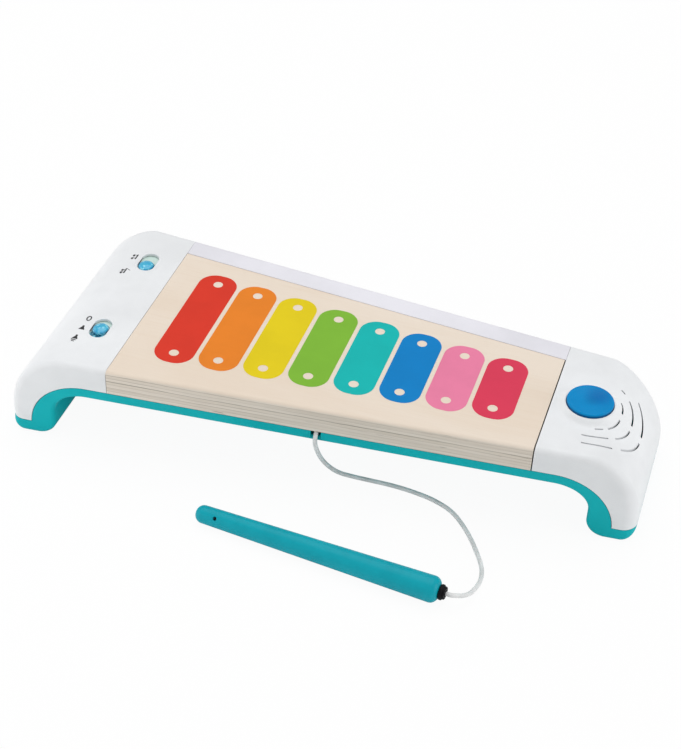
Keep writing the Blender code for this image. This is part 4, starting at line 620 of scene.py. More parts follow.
def end_rows(side):
    """The outside of a white end: level from its seam, then a quarter ellipse down to the foot."""
    gap = PARTING_GAP / 2
    level_x = np.concatenate((np.linspace(SEAM_X, PARTING_BEND_X, 18)[:-1],
                              np.linspace(PARTING_BEND_X, END_START_X, 20)[:-1]))
    turn = np.linspace(0, 1, 65)
    stations = np.vstack((level_stations(level_x, HEIGHT, 1),
                          curved_stations((END_START_X, END_BASE_Z), END_RUN, END_DROP, 90, 0, 64),
                          (HALF_LENGTH, FOOT_SPLIT_Z + gap, 1, 0)))
    lead = np.clip((level_x - PARTING_BEND_X) / (END_START_X - PARTING_BEND_X), 0, 1)
    partner_x, partner_z = parting_points(np.concatenate((
        lead * TOP_LEVEL_SHARE, TOP_LEVEL_SHARE + TOP_CURVE_SHARE * turn, [1])), gap)
    straight = level_x < PARTING_BEND_X
    partner_x[:len(level_x)][straight] = level_x[straight]
    radii = [np.concatenate((np.full_like(level_x, TOP_EDGE_RADIUS),
                             TOP_EDGE_RADIUS + (FOOT_CORNER_RADIUS - TOP_EDGE_RADIUS) * turn ** lag
                             + np.sin(np.pi * turn) * (widest - TOP_EDGE_RADIUS),
                             [FOOT_CORNER_RADIUS]))
             for widest, lag in ((FRONT_END_RADIUS, 3), (REAR_END_RADIUS, 1))]
    return sections(stations, np.column_stack((partner_x, partner_z)), radii, side, 150)


def bottom_rows(side):
    """The outside of half the coloured bottom: belly, arch, heel, sole and toe of a foot."""
    gap = -PARTING_GAP / 2
    belly_x = np.linspace(0, ARCH_START_X, 14)[:-1]
    arch_turn = np.linspace(0, 1, 37)
    heel_turn = np.linspace(0, 1, 19)
    inner_x = ARCH_START_X + ARCH_RUN + FOOT_INNER_RADIUS
    outer_x = HALF_LENGTH - FOOT_OUTER_RADIUS
    stations = np.vstack((
        level_stations(belly_x, BELLY_Z, -1),
        curved_stations((ARCH_START_X, ARCH_SPRING_Z), ARCH_RUN, BELLY_Z - ARCH_SPRING_Z, 90, 0, 36, -1),
        curved_stations((inner_x, FOOT_INNER_RADIUS), FOOT_INNER_RADIUS, FOOT_INNER_RADIUS, 180, 270, 18),
        curved_stations((outer_x, FOOT_OUTER_RADIUS), FOOT_OUTER_RADIUS, FOOT_OUTER_RADIUS, 270, 360, 18),
        (HALF_LENGTH, FOOT_SPLIT_Z + gap, 1, 0)))
    heel_share = HEEL_FIRST_STEP + (1 - HEEL_FIRST_STEP) * heel_turn
    shares = np.concatenate((0 * belly_x, ARCH_SHARE * arch_turn,
                             ARCH_SHARE + (1 - ARCH_SHARE) * heel_share, np.ones(20)))
    partner_x, partner_z = parting_points(shares, gap)
    partner_x[:len(belly_x)] = belly_x
    radii = np.concatenate((np.full_like(belly_x, BELLY_EDGE_RADIUS),
                            BELLY_EDGE_RADIUS + (LEG_EDGE_RADIUS - BELLY_EDGE_RADIUS) * arch_turn,
                            np.full(19, LEG_EDGE_RADIUS),
                            LEG_EDGE_RADIUS + (FOOT_CORNER_RADIUS - LEG_EDGE_RADIUS) * heel_turn ** 2,
                            [FOOT_CORNER_RADIUS]))
    return sections(stations, np.column_stack((partner_x, partner_z)), (radii, radii), side, 24)


def raise_collar(points):
    """Blend a cone round the button into the top: the smooth greater of the surface and the cone."""
    x, y, z = points[..., 0], points[..., 1], points[..., 2]
    reach = np.hypot(x - BUTTON[0], y - BUTTON[1])
    cone = HEIGHT + COLLAR_ABOVE - np.maximum(reach - COLLAR_TOP_RADIUS, 0) * COLLAR_SLOPE
    mix = np.clip(0.5 + 0.5 * (cone - z) / COLLAR_BLEND, 0, 1)
    blended = z + (cone - z) * mix + COLLAR_BLEND * mix * (1 - mix)
    upper = (z > PARTING_Z) & (reach < COLLAR_REACH)
    points[..., 2] = np.where(upper, np.maximum(z, blended), z)
    return points


# Shader tools

class Value:
    """A number or colour that changes over a surface; arithmetic on it adds nodes to its finish."""

    def __init__(self, finish, socket):
        self.finish = finish
        self.socket = socket

    def __add__(self, other):
        return self.finish.maths("ADD", self, other)

    __radd__ = __add__

    def __sub__(self, other):
        return self.finish.maths("SUBTRACT", self, other)

    def __rsub__(self, other):
        return self.finish.maths("SUBTRACT", other, self)

    def __mul__(self, other):
        return self.finish.maths("MULTIPLY", self, other)

    __rmul__ = __mul__

    def __truediv__(self, other):
        return self.finish.maths("DIVIDE", self, other)

    def __rtruediv__(self, other):
        return self.finish.maths("DIVIDE", other, self)

    def over(self, low, high):
        """0 below low, 1 above high and a smooth rise between."""
        return self.finish.node("ShaderNodeMapRange", {"interpolation_type": "SMOOTHSTEP"},
                                {"Value": self, "From Min": low, "From Max": high})


def linear(rgb):
    """sRGB bytes as the linear values that a shader takes."""
    share = np.asarray(rgb, float) / 255
    value = np.where(share <= 0.04045, share / 12.92, ((share + 0.055) / 1.055) ** 2.4)
    return (*value.tolist(), 1.0)


def shaded(rgb, factor):
    """A colour made lighter or darker by a factor."""
    return tuple(np.clip(np.asarray(rgb, float) * factor, 0, 255))


class Finish:
    """A finish under way: one material, its shader and the nodes that feed it."""

    def __init__(self, name):
        self.material = bpy.data.materials.new(name)
        self.material.use_nodes = True
        self.tree = self.material.node_tree
        self.shader = self.tree.nodes["Principled BSDF"]
        self.place = self.node("ShaderNodeTexCoord", output="Object")

    def plug(self, socket, value):
        """Link a socket to a Value, or set it to a plain number, vector or colour."""
        if isinstance(value, Value):
            self.tree.links.new(value.socket, socket)
        else:
            socket.default_value = value

    def node(self, kind, settings=None, sockets=None, output=0):
        """A node of a kind, its settings made first, then the values or links of its sockets."""
        made = self.tree.nodes.new(kind)
        for key, value in (settings or {}).items():
            setattr(made, key, value)
        for key, value in (sockets or {}).items():
            self.plug(made.inputs[key], value)
        return Value(self, made.outputs[output])

    def maths(self, operation, *terms):
        """What a Math node makes of its terms."""
        return self.node("ShaderNodeMath", {"operation": operation}, dict(enumerate(terms)))

    def axis(self, name):
        """One coordinate of the place on the toy, in metres."""
        return self.node("ShaderNodeSeparateXYZ", {}, {"Vector": self.place}, output=name)

    def noise(self, scale, detail=3.0, rough=0.55, vector=None, distortion=0.0):
        """Cloudy noise from 0 to 1, at a scale in patterns per metre."""
        return self.node("ShaderNodeTexNoise", {},
                         {"Vector": vector or self.place, "Scale": scale, "Detail": detail,
                          "Roughness": rough, "Distortion": distortion})

    def streaks(self, scale, detail=2.0, rough=0.5, distortion=0.0, turn=(0, 0, 0)):
        """Noise with a scale for each direction, in patterns per metre, so that it runs in lines."""
        vector = self.node("ShaderNodeMapping", {},
                           {"Vector": self.place, "Scale": scale, "Rotation": turn})
        return self.noise(1.0, detail, rough, vector, distortion)

    def mix(self, factor, first, second):
        """A colour between two, by a factor; a plain colour is given in sRGB bytes."""
        first, second = (each if isinstance(each, Value) else linear(each) for each in (first, second))
        return self.node("ShaderNodeMix", {"data_type": "RGBA"}, {0: factor, 6: first, 7: second},
                         output=2)

    def layers(self, colour, *laid):
        """A colour with others laid over it in turn, each a pair of its mask and the colour."""
        for mask, rgb in laid:
            colour = self.mix(mask, colour, rgb)
        return colour

    def bump(self, height, strength, depth, below=None):
        """A normal raised by a height of 0 to 1, of a strength and a depth in metres."""
        sockets = {"Height": height, "Strength": strength, "Distance": depth}
        if below:
            sockets["Normal"] = below
        return self.node("ShaderNodeBump", {}, sockets)

    def feed(self, **inputs):
        """Set or link the shader's sockets, an underscore for a space, and give the material."""
        for key, value in inputs.items():
            self.plug(self.shader.inputs[key.replace("_", " ")], value)
        return self.material


# Finishes

def moulded(name, rgb, roughness, grain=0.35, **constants):
    """Moulded plastic: faint flow in the colour, a fine eroded texture and rubbed, glossier spots."""
    f = Finish(name)
    flow = f.noise(14.0, 4.0, 0.6)
    speck = f.noise(2600.0, 2.0)
    rubbed = f.noise(38.0, 5.0, 0.65).over(0.52, 0.72)
    scratch = f.streaks((90.0, 1400.0, 400.0), turn=(0.2, 0.1, 0.6))
    colour = f.mix(flow.over(0.3, 0.7), shaded(rgb, 0.965), shaded(rgb, 1.015))
    colour = f.mix(speck.over(0.35, 0.75) * 0.25, colour, shaded(rgb, 0.93))
    rough = roughness + (speck - 0.5) * 0.10 - rubbed * 0.07 + scratch.over(0.62, 0.70) * 0.05
    eroded = f.bump(speck, grain, 0.00004)
    return f.feed(Base_Color=colour, Roughness=rough,
                  Normal=f.bump(scratch.over(0.60, 0.72), 0.05, 0.00002, eroded), **constants)


def plywood_finish():
    """Sealed plywood: faint long grain and pores on top, plies and glue lines along its edges."""
    f = Finish("sealed_plywood")
    height = f.axis("Z")
    fibre = f.streaks((22.0, 460.0, 460.0), 6.0, 0.6, 0.4)
    figure = f.streaks((6.0, 16.0, 16.0), 3.0, 0.5, 0.8)
    pore = f.streaks((150.0, 2600.0, 2600.0))
    tone = fibre * 0.35 + figure * 0.65
    top = f.mix(tone.over(0.34, 0.64), (229, 213, 195), (234, 221, 206))
    top = f.layers(top, (fibre.over(0.55, 0.72) * 0.22, (221, 203, 181)),
                   (pore.over(0.62, 0.74) * 0.16, (205, 182, 154)))
    wander = f.streaks((20.0, 20.0, 70.0), 3.0, 0.6) - 0.5
    fine = f.streaks((130.0, 130.0, 260.0), 2.0, 0.6) - 0.5
    level = (height - PANEL_BOTTOM_Z) + wander * 0.0016 + fine * 0.0004
    level = level / ((HEIGHT - PANEL_BOTTOM_Z) / PLY_COUNT)
    ply = f.maths("FRACT", level)
    pair = f.maths("FRACT", level * 0.5)
    fade = f.streaks((16.0, 16.0, 160.0)).over(0.36, 0.62)
    glue = f.maths("MAXIMUM", ply, 1 - ply).over(0.86, 0.97) * (fade * 0.6 + 0.3)
    deep = 1 - f.maths("ABSOLUTE", level - 4).over(0.05, 0.17)
    streak = f.streaks((14.0, 14.0, 900.0), 5.0, 0.62, 0.5)
    mark = f.streaks((45.0, 45.0, 420.0)).over(0.66, 0.70) * streak.over(0.50, 0.62)
    end_grain = f.streaks((800.0, 800.0, 2600.0), 4.0, 0.7)
    edge = f.mix(pair.over(0.40, 0.60) * 0.6, (226, 217, 205), (216, 206, 192))
    edge = f.layers(edge, (streak.over(0.44, 0.66) * 0.34, (190, 178, 163)),
                    (end_grain.over(0.55, 0.75) * 0.14, (168, 154, 137)),
                    (glue * 0.75, (162, 147, 130)),
                    (deep * (fade * 0.5 + 0.35), (128, 114, 100)),
                    (mark * 0.6, (104, 90, 76)))
    side = 1 - height.over(HEIGHT - 0.0022, HEIGHT - 0.0006)
    relief = f.bump(fibre + pore * 0.5, 0.08, 0.00005)
    return f.feed(Base_Color=f.mix(side, top, edge), Roughness=0.48 + (fibre - 0.5) * 0.22 + side * 0.16,
                  Normal=f.bump(streak * side + glue * 0.4, 0.30, 0.00010, relief),
                  Specular_IOR_Level=0.22)


def ink(name, rgb):
    """Screen-printed ink on wood: faint clouds and specks of the screen, the grain just showing."""
    f = Finish(name)
    fibre = f.streaks((22.0, 460.0, 460.0), 5.0, 0.6, 0.4)
    screen = f.noise(3200.0, 1.0)
    cloud = f.noise(45.0, 3.0)
    colour = f.mix(cloud.over(0.3, 0.7), shaded(rgb, 0.985), shaded(rgb, 1.01))
    colour = f.layers(colour, (fibre.over(0.56, 0.74) * 0.10, shaded(rgb, 0.90)),
                      (screen.over(0.60, 0.78) * 0.08, shaded(rgb, 1.05)))
    return f.feed(Base_Color=colour, Roughness=0.42 + (fibre - 0.5) * 0.12 + (screen - 0.5) * 0.10,
                  Normal=f.bump(fibre * 0.7 + screen * 0.2, 0.08, 0.00004), Specular_IOR_Level=0.10)


def clear_blue_finish():
    """Clear tinted plastic: painted shade makes it deep blue low down and cyan in the dome, with painted
    highlights in swirls and glints.
    """
    f = Finish("clear_blue_plastic")
    flow = f.noise(420.0, 2.0, 0.5, None, 1.2)
    glint = f.streaks((520.0, 312.0, 520.0), 1.0, 0.4, 0.6)
    height = f.axis("Z")
    # Painted shade: the blue darkens towards the bottom of the knob, and is darkest at its foot and on the
    # skirt.
    colour = f.mix(height.over(HEIGHT - 0.0010, HEIGHT + 0.0008), (0, 112, 160), (24, 164, 210))
    colour = f.mix(height.over(HEIGHT - 0.0018, HEIGHT - 0.0010), (0, 70, 106), colour)
    # Painted highlights: the lighter swirls of flow and the streaky glint. flow also sets the roughness
    # and the bump.
    colour = f.layers(colour, (flow.over(0.42, 0.62) * 0.45, (60, 190, 214)),
                      (glint.over(0.56, 0.66) * 0.7, (140, 226, 244)))
    return f.feed(Base_Color=colour, Roughness=0.10 + flow * 0.08, Normal=f.bump(flow, 0.25, 0.0002),
                  Specular_IOR_Level=0.5, Coat_Weight=0.6, Coat_Roughness=0.05)


def button_finish():
    """Glossy blue plastic: a painted dark reflection at the rear right of the dish, and painted shade on
    the wall below its rim.
    """
    f = Finish("blue_plastic")
    speck = f.noise(2600.0, 2.0)
    flow = f.noise(60.0, 4.0, 0.6)
    rubbed = f.noise(90.0, 5.0, 0.65).over(0.52, 0.72)
    # Painted reflection: the dish is darker about a point to the rear right of its middle.
    off_x = f.axis("X") - (BUTTON[0] + BUTTON_REFLECTION_X)
    off_y = f.axis("Y") - (ROW_Y + BUTTON[1] + BUTTON_REFLECTION_Y)
    reach = f.maths("SQRT", off_x * off_x + off_y * off_y)
    deep = 1 - reach.over(0.1 * BUTTON_RADIUS, 0.8 * BUTTON_RADIUS)
    # Painted shade: the button's wall below its rounded edge is darker.
    wall = 1 - f.axis("Z").over(BUTTON_TOP - 1.1 * BUTTON_EDGE_RADIUS,
                                BUTTON_TOP - 0.4 * BUTTON_EDGE_RADIUS)
    colour = f.mix(flow.over(0.3, 0.7), (0, 133, 196), (2, 138, 201))
    colour = f.layers(colour, (deep, (0, 112, 180)), (wall, (0, 92, 146)))
    return f.feed(Base_Color=colour, Roughness=0.26 + (speck - 0.5) * 0.08 - rubbed * 0.06,
                  Normal=f.bump(speck, 0.25, 0.00004), Specular_IOR_Level=0.10)


def painted_stylus_finish():
    """Satin paint on turned wood: fine rings from the lathe, fibres under the coat, small rubs."""
    f = Finish("teal_paint")
    along = (0, 0, -STYLUS_YAW)
    fibre = f.streaks((30.0, 700.0, 700.0), 5.0, 0.6, turn=along)
    rings = f.streaks((1500.0, 30.0, 30.0), turn=along)
    dab = f.noise(60.0, 4.0, 0.6)
    colour = f.mix(dab.over(0.3, 0.7), (6, 156, 172), (10, 164, 180))
    colour = f.mix(fibre.over(0.58, 0.76) * 0.25, colour, (4, 140, 156))
    return f.feed(Base_Color=colour, Roughness=0.36 + (fibre - 0.5) * 0.16 + (dab - 0.5) * 0.10,
                  Normal=f.bump(fibre * 0.8 + rings * 0.35, 0.16, 0.00006), Specular_IOR_Level=0.16)


def rubber_finish(name, rgb, roughness):
    """Soft rubber or cast plastic: dusty, with a fine matt skin."""
    f = Finish(name)
    skin = f.noise(2200.0, 3.0, 0.6)
    dust = f.noise(260.0, 4.0, 0.7).over(0.5, 0.8)
    colour = f.mix(dust * 0.5, rgb, shaded(np.asarray(rgb, float) + 14, 1.15))
    return f.feed(Base_Color=colour, Roughness=roughness + (skin - 0.5) * 0.2 + dust * 0.06,
                  Normal=f.bump(skin, 0.3, 0.00005), Specular_IOR_Level=0.15)


def cord_finish():
    """Soft jacket of the cord: pale grey with a cloudy depth, fine draw lines along it."""
    f = Finish("white_cord")
    own = f.node("ShaderNodeUVMap", {"uv_map": "along"})
    lines = f.node("ShaderNodeMapping", {}, {"Vector": own, "Scale": (3.0, 60.0, 1.0)})
    drawn = f.noise(1.0, 2.0, 0.5, lines)
    cloud = f.noise(130.0, 4.0, 0.6)
    colour = f.mix(cloud.over(0.3, 0.7), (212, 214, 214), (232, 233, 233))
    colour = f.mix(drawn.over(0.55, 0.8) * 0.3, colour, (192, 197, 197))
    return f.feed(Base_Color=colour, Roughness=0.36 + (cloud - 0.5) * 0.14,
                  Normal=f.bump(drawn, 0.12, 0.00004), Subsurface_Weight=0.2,
                  Subsurface_Radius=(0.002, 0.002, 0.002), Subsurface_Scale=0.4)


def metal_finish(name, rgb, roughness):
    """Plated steel: fine drawn lines, small dull spots."""
    f = Finish(name)
    drawn = f.streaks((300.0, 4000.0, 1200.0), 3.0, 0.6)
    spot = f.noise(420.0, 4.0, 0.65)
    rough = roughness + (drawn - 0.5) * 0.25 + spot.over(0.5, 0.8) * 0.12
    return f.feed(Base_Color=f.mix(spot.over(0.45, 0.8) * 0.5, rgb, shaded(rgb, 0.78)),
                  Roughness=rough, Metallic=1.0, Normal=f.bump(drawn, 0.15, 0.00003))


def board_finish():
    """Green circuit board: paler tracks in a dark mask, with small bright pads."""
    f = Finish("circuit_board")
    tracks = f.node("ShaderNodeTexBrick", {"offset": 0.5}, {
        "Vector": f.place, "Scale": 160.0, "Mortar Size": 0.06,
        "Color1": (0, 0, 0, 1), "Color2": (0, 0, 0, 1), "Mortar": (1, 1, 1, 1)}, output="Fac")
    pads = f.node("ShaderNodeTexVoronoi", {}, {"Vector": f.place, "Scale": 210.0})
    spot = 1 - pads.over(0.10, 0.14)
    cloud = f.noise(90.0, 3.0)
    mask = f.mix(cloud.over(0.3, 0.7), (24, 84, 46), (34, 104, 58))
    colour = f.layers(mask, (tracks * 0.7, (58, 138, 78)), (spot, (188, 178, 150)))
    return f.feed(Base_Color=colour, Roughness=0.42 + (cloud - 0.5) * 0.1 - spot * 0.15,
                  Normal=f.bump(tracks + spot, 0.2, 0.00004))


def wrap_finish():
    """A cell's plain printed wrap: dark, with a lighter band at both ends, and scuffed."""
    f = Finish("battery_wrap")
    band = f.maths("ABSOLUTE", f.axis("X")).over(BATTERY_BAND_X, BATTERY_BAND_X + 0.0005)
    scuff = f.streaks((300.0, 900.0, 900.0), 4.0, 0.6)
    colour = f.mix(band, (52, 58, 76), (176, 150, 92))
    colour = f.mix(scuff.over(0.6, 0.8) * 0.3, colour, (110, 112, 120))
    return f.feed(Base_Color=colour, Roughness=0.3 + scuff * 0.15, Metallic=0.25,
                  Normal=f.bump(scuff, 0.08, 0.00004))


def sign_finish():
    """Dark ink of the small signs on the plastic, worn in spots."""
    f = Finish("sign_ink")
    wear = f.noise(1400.0, 3.0, 0.6)
    return f.feed(Base_Color=f.mix(wear.over(0.55, 0.8) * 0.4, (22, 24, 28), (66, 68, 74)),
                  Roughness=0.45 + (wear - 0.5) * 0.2, Normal=f.bump(wear, 0.1, 0.00003))


WHITE = moulded("white_plastic", (235, 237, 239), 0.36, Specular_IOR_Level=0.3)
FROSTED = moulded("frosted_plastic", (231, 230, 237), 0.46, 0.5, Specular_IOR_Level=0.3)
TEAL = moulded("teal_plastic", (2, 181, 188), 0.38, Specular_IOR_Level=0.14)
SLIDER = moulded("slider_plastic", (214, 236, 228), 0.35, 0.3, Specular_IOR_Level=0.3)
CLEAR_BLUE = clear_blue_finish()
STEEL = metal_finish("steel", (180, 182, 186), 0.30)


# Cord

def stylus_frame():
    """Where the stylus lies: its tip's middle, and its upward, across and lengthwise directions."""
    tilt = math.atan2(STYLUS_END_RADIUS - STYLUS_TIP_RADIUS,
                      STYLUS_LENGTH - STYLUS_TIP_ROUND - STYLUS_END_ROUND)
    tip = np.array((*STYLUS_TIP, STYLUS_TIP_RADIUS * math.cos(tilt) - STYLUS_TIP_ROUND * math.sin(tilt)))
    axis = np.array((math.cos(STYLUS_YAW) * math.cos(tilt), math.sin(STYLUS_YAW) * math.cos(tilt),
                     math.sin(tilt)))
    across = np.cross((0, 0, 1), axis)
    across /= np.linalg.norm(across)
    return tip, np.cross(axis, across), -across, axis


def lying(part):
    """A part about its own Z laid along the stylus: tip + x upward + y across + z axis."""
    tip, upward, across, axis = stylus_frame()
    points = np.asarray(part[0], float).reshape(-1, 3)
    return tip + points @ np.vstack((upward, across, axis)), part[1]


def smooth_line(route, count):
    """Points at even steps along a curve through the route.

    The curve is of cubic pieces, whose slope at a route point is the mean of the slopes of the
    chords beside it, each weighted by the other's time, the square root of a chord's length.
    """
    route = np.asarray(route, float)
    chords = np.linalg.norm(np.diff(route, axis=0), axis=1)
    knots = np.concatenate(([0], np.cumsum(np.sqrt(chords))))
    spans = np.diff(knots)[:, None]
    slopes = np.diff(route, axis=0) / spans
    inner = (slopes[:-1] * spans[1:] + slopes[1:] * spans[:-1]) / (spans[:-1] + spans[1:])
    tangents = np.vstack((slopes[:1], inner, slopes[-1:]))
    step = np.linspace(0, 1, 24, endpoint=False)[None, :, None]
    span = spans[:, :, None]
    start, end = route[:-1, None], route[1:, None]
    curve = ((1 + 2 * step) * (1 - step) ** 2 * start + step * (1 - step) ** 2 * span * tangents[:-1, None]
             + step ** 2 * (3 - 2 * step) * end + step ** 2 * (step - 1) * span * tangents[1:, None])
    curve = np.vstack((curve.reshape(-1, 3), route[-1:]))
    travelled = np.concatenate(([0], np.cumsum(np.linalg.norm(np.diff(curve, axis=0), axis=1))))
    wanted = np.linspace(0, travelled[-1], count)
    return np.column_stack([np.interp(wanted, travelled, curve[:, column]) for column in range(3)])


def cord_line():
    """The cord's middle line: clamp, lip of the bench, floor, and up to the stylus's collar."""
    tip, _, _, axis = stylus_frame()
    clamp_y = front_y(CORD_X) + CLAMP_DEPTH - CLEARANCE
    reach = STYLUS_LENGTH + 2 * CLEARANCE + COLLAR_RING_LENGTH
    route = [(CORD_X, clamp_y, CLAMP_Z), (CORD_X, clamp_y - CORD_RADIUS, CLAMP_Z), *CORD_ROUTE,
             tip + axis * (reach + COLLAR_LEAD), tip + axis * reach]
    return smooth_line(route, 260)


def tube_along(line, radius, around=20):
    """Points of a tube: at each point of a line, radius times a turning pair of normals.

    The pair is carried from point to point by taking out its part along the new direction.
    """
    ahead = np.gradient(line, axis=0)
    ahead /= np.linalg.norm(ahead, axis=1)[:, None]
    sides = np.empty_like(line)
    side = np.cross(ahead[0], (1.0, 0.0, 0.0))
    for index, direction in enumerate(ahead):
        side = side - direction * (side @ direction)
        side /= np.linalg.norm(side)
        sides[index] = side
    other = np.cross(ahead, sides)
    angles = np.linspace(0, 2 * np.pi, around, endpoint=False)[None, :, None]
    return line[:, None] + radius * (np.cos(angles) * sides[:, None] + np.sin(angles) * other[:, None])


def make_cord():
    """The cord as a tube with closed ends and its own along-and-around map."""
    line = cord_line()
    tube = tube_along(line, CORD_RADIUS)
    rows, around = tube.shape[:2]
    count = rows * around
    first = np.arange(around)
    second = (first + 1) % around
    caps = np.vstack((np.column_stack((np.full(around, count), second, first)),
                      np.column_stack((np.full(around, count + 1), count - around + first,
                                       count - around + second))))
    mesh = bpy.data.meshes.new("cord_jacket")
    mesh.from_pydata(placed(np.vstack((tube.reshape(-1, 3), line[:1], line[-1:]))).tolist(), [],
                     grid_faces(rows, around, around=True).tolist() + caps.tolist())
    along = np.repeat(np.linspace(0, 1, rows), around)
    turn = np.tile(np.linspace(0, 1, around, endpoint=False), rows)
    spots = np.vstack((np.column_stack((along, turn)), (0, 0), (1, 0)))
    corner = np.empty(len(mesh.loops), np.int32)
    mesh.loops.foreach_get("vertex_index", corner)
    mesh.uv_layers.new(name="along").data.foreach_set("uv", spots[corner].ravel())
    piece = make_piece("cord_jacket", mesh, None, cord_finish(), "cord", 60)
    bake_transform(piece)
    return piece, line


aim_camera()
CORD, CORD_LINE = make_cord()


# White ends

def slot_outline(ring, start, end):
    """A sound slot in plan: two arcs of a squared circle, |cos|^n + |sin|^n = 1, a width apart."""
    middle = SLOT_RING_FIRST + SLOT_RING_STEP * ring
    steps = max(4, round((end - start) / SLOT_STEP_DEGREES))
    edges = []
    for edge in (1, -1):
        angle = np.radians(np.linspace(start, end, steps + 1))[::edge]
        spread = (np.abs(np.cos(angle)) ** SLOT_SQUARENESS
                  + np.abs(np.sin(angle)) ** SLOT_SQUARENESS) ** (1 / SLOT_SQUARENESS)
        radius = (middle + edge * SLOT_WIDTH / 2) / spread
        edges.append(np.column_stack((BUTTON[0] + radius * np.cos(angle),
                                      BUTTON[1] + radius * np.sin(angle))))
    return np.vstack(edges)


def oval(y, length, width, steps=16):
    """A long round-ended outline along Y, at the switches."""
    half = width / 2
    return rounded_outline(rectangle(SWITCH_X, y, half, length / 2), half * SWITCH_SLOT_SQUARE, steps)


def make_white_end(side):
    """A white end: its skin walled, with the collar, button hole and slots, or the switch holes."""
    rows = end_rows(side)
    if side > 0:
        name = "right_end"
        rows = raise_collar(rows)
        hole = disc(*BUTTON, BUTTON_RADIUS + BUTTON_GAP, HOLE_LOW_Z, HOLE_HIGH_Z, 96)
        slots = [prism(slot_outline(ring, *span), HOLE_LOW_Z, HOLE_HIGH_Z)
                 for ring, spans in enumerate(SLOT_SPANS_DEGREES) for span in spans]
        cuts = [[hole], slots]
    else:
        name = "left_end"
        cuts = [[prism(oval(y, SWITCH_SLOT_LENGTH, SWITCH_SLOT_WIDTH), HOLE_LOW_Z, HOLE_HIGH_Z)
                 for y in SWITCH_Y.values()]]
    mesh = make_mesh(name, rows, grid_faces(*rows.shape[:2], flip=side < 0), outward=False)
    mesh = carved(name, walled(name, mesh, END_WALL), cut=cuts)
    make_piece(name, mesh, "bench", WHITE, name.replace("end", "top_housing"))


make_white_end(1)
make_white_end(-1)


# Bottom, with its wells, bay, seat and notch

def screw_places(x, from_edge, rear=rear_y):
    """The places at -x and x, near the front edge and near the rear edge."""
    return [(at, y) for at in (-x, x) for y in (front_y(at) + from_edge, rear(at) - from_edge)]


END_SCREWS = screw_places(BOSS_X, BOSS_FROM_EDGE)
FOOT_SCREWS = screw_places(FOOT_BOSS_X, FOOT_BOSS_FROM_EDGE)
PANEL_SCREWS = screw_places(PANEL_SCREW_X, PANEL_SCREW_FROM_EDGE, panel_rear_y)


def door_outline(spare):
    """The battery door's outline, larger by spare."""
    corners = rectangle(0, BATTERY_Y, DOOR_HALF_LENGTH + spare, DOOR_HALF_WIDTH + spare)
    return rounded_outline(corners, DOOR_CORNER_RADIUS + spare, 14)


def seat_column(radius, depth, top):
    """A column for the speaker's seat whose foot lies at a depth inside the belly.

    The belly is level, and then goes down the arch by an ellipse: height = sqrt(1 - share^2).
    """
    points, faces = disc(*SPEAKER, radius, BELLY_Z, top, 64)
    foot = points[:, 2] < top
    share = np.clip((np.abs(points[foot, 0]) - ARCH_START_X) / (ARCH_RUN + depth), 0, 1)
    points[foot, 2] = ARCH_SPRING_Z + (BELLY_Z + depth - ARCH_SPRING_Z) * np.sqrt(1 - share ** 2)
    return points, faces


def notch_cut():
    """The notch that the cord leaves by: a slot whose floor falls towards the front."""
    lip = front_y(CORD_X)
    inside = lip + WALL
    floor = PARTING_Z - NOTCH_DEPTH
    fall = NOTCH_LIP_DROP / WALL
    profile = [(lip - REACH, PARTING_Z + REACH), (lip - REACH, floor - (REACH + WALL) * fall),
               (inside, floor), (inside + REACH, floor), (inside + REACH, PARTING_Z + REACH)]
    outline = np.array([(CORD_X - NOTCH_WIDTH / 2, y, z) for y, z in profile])
    return capped((outline, outline + (NOTCH_WIDTH, 0, 0)))


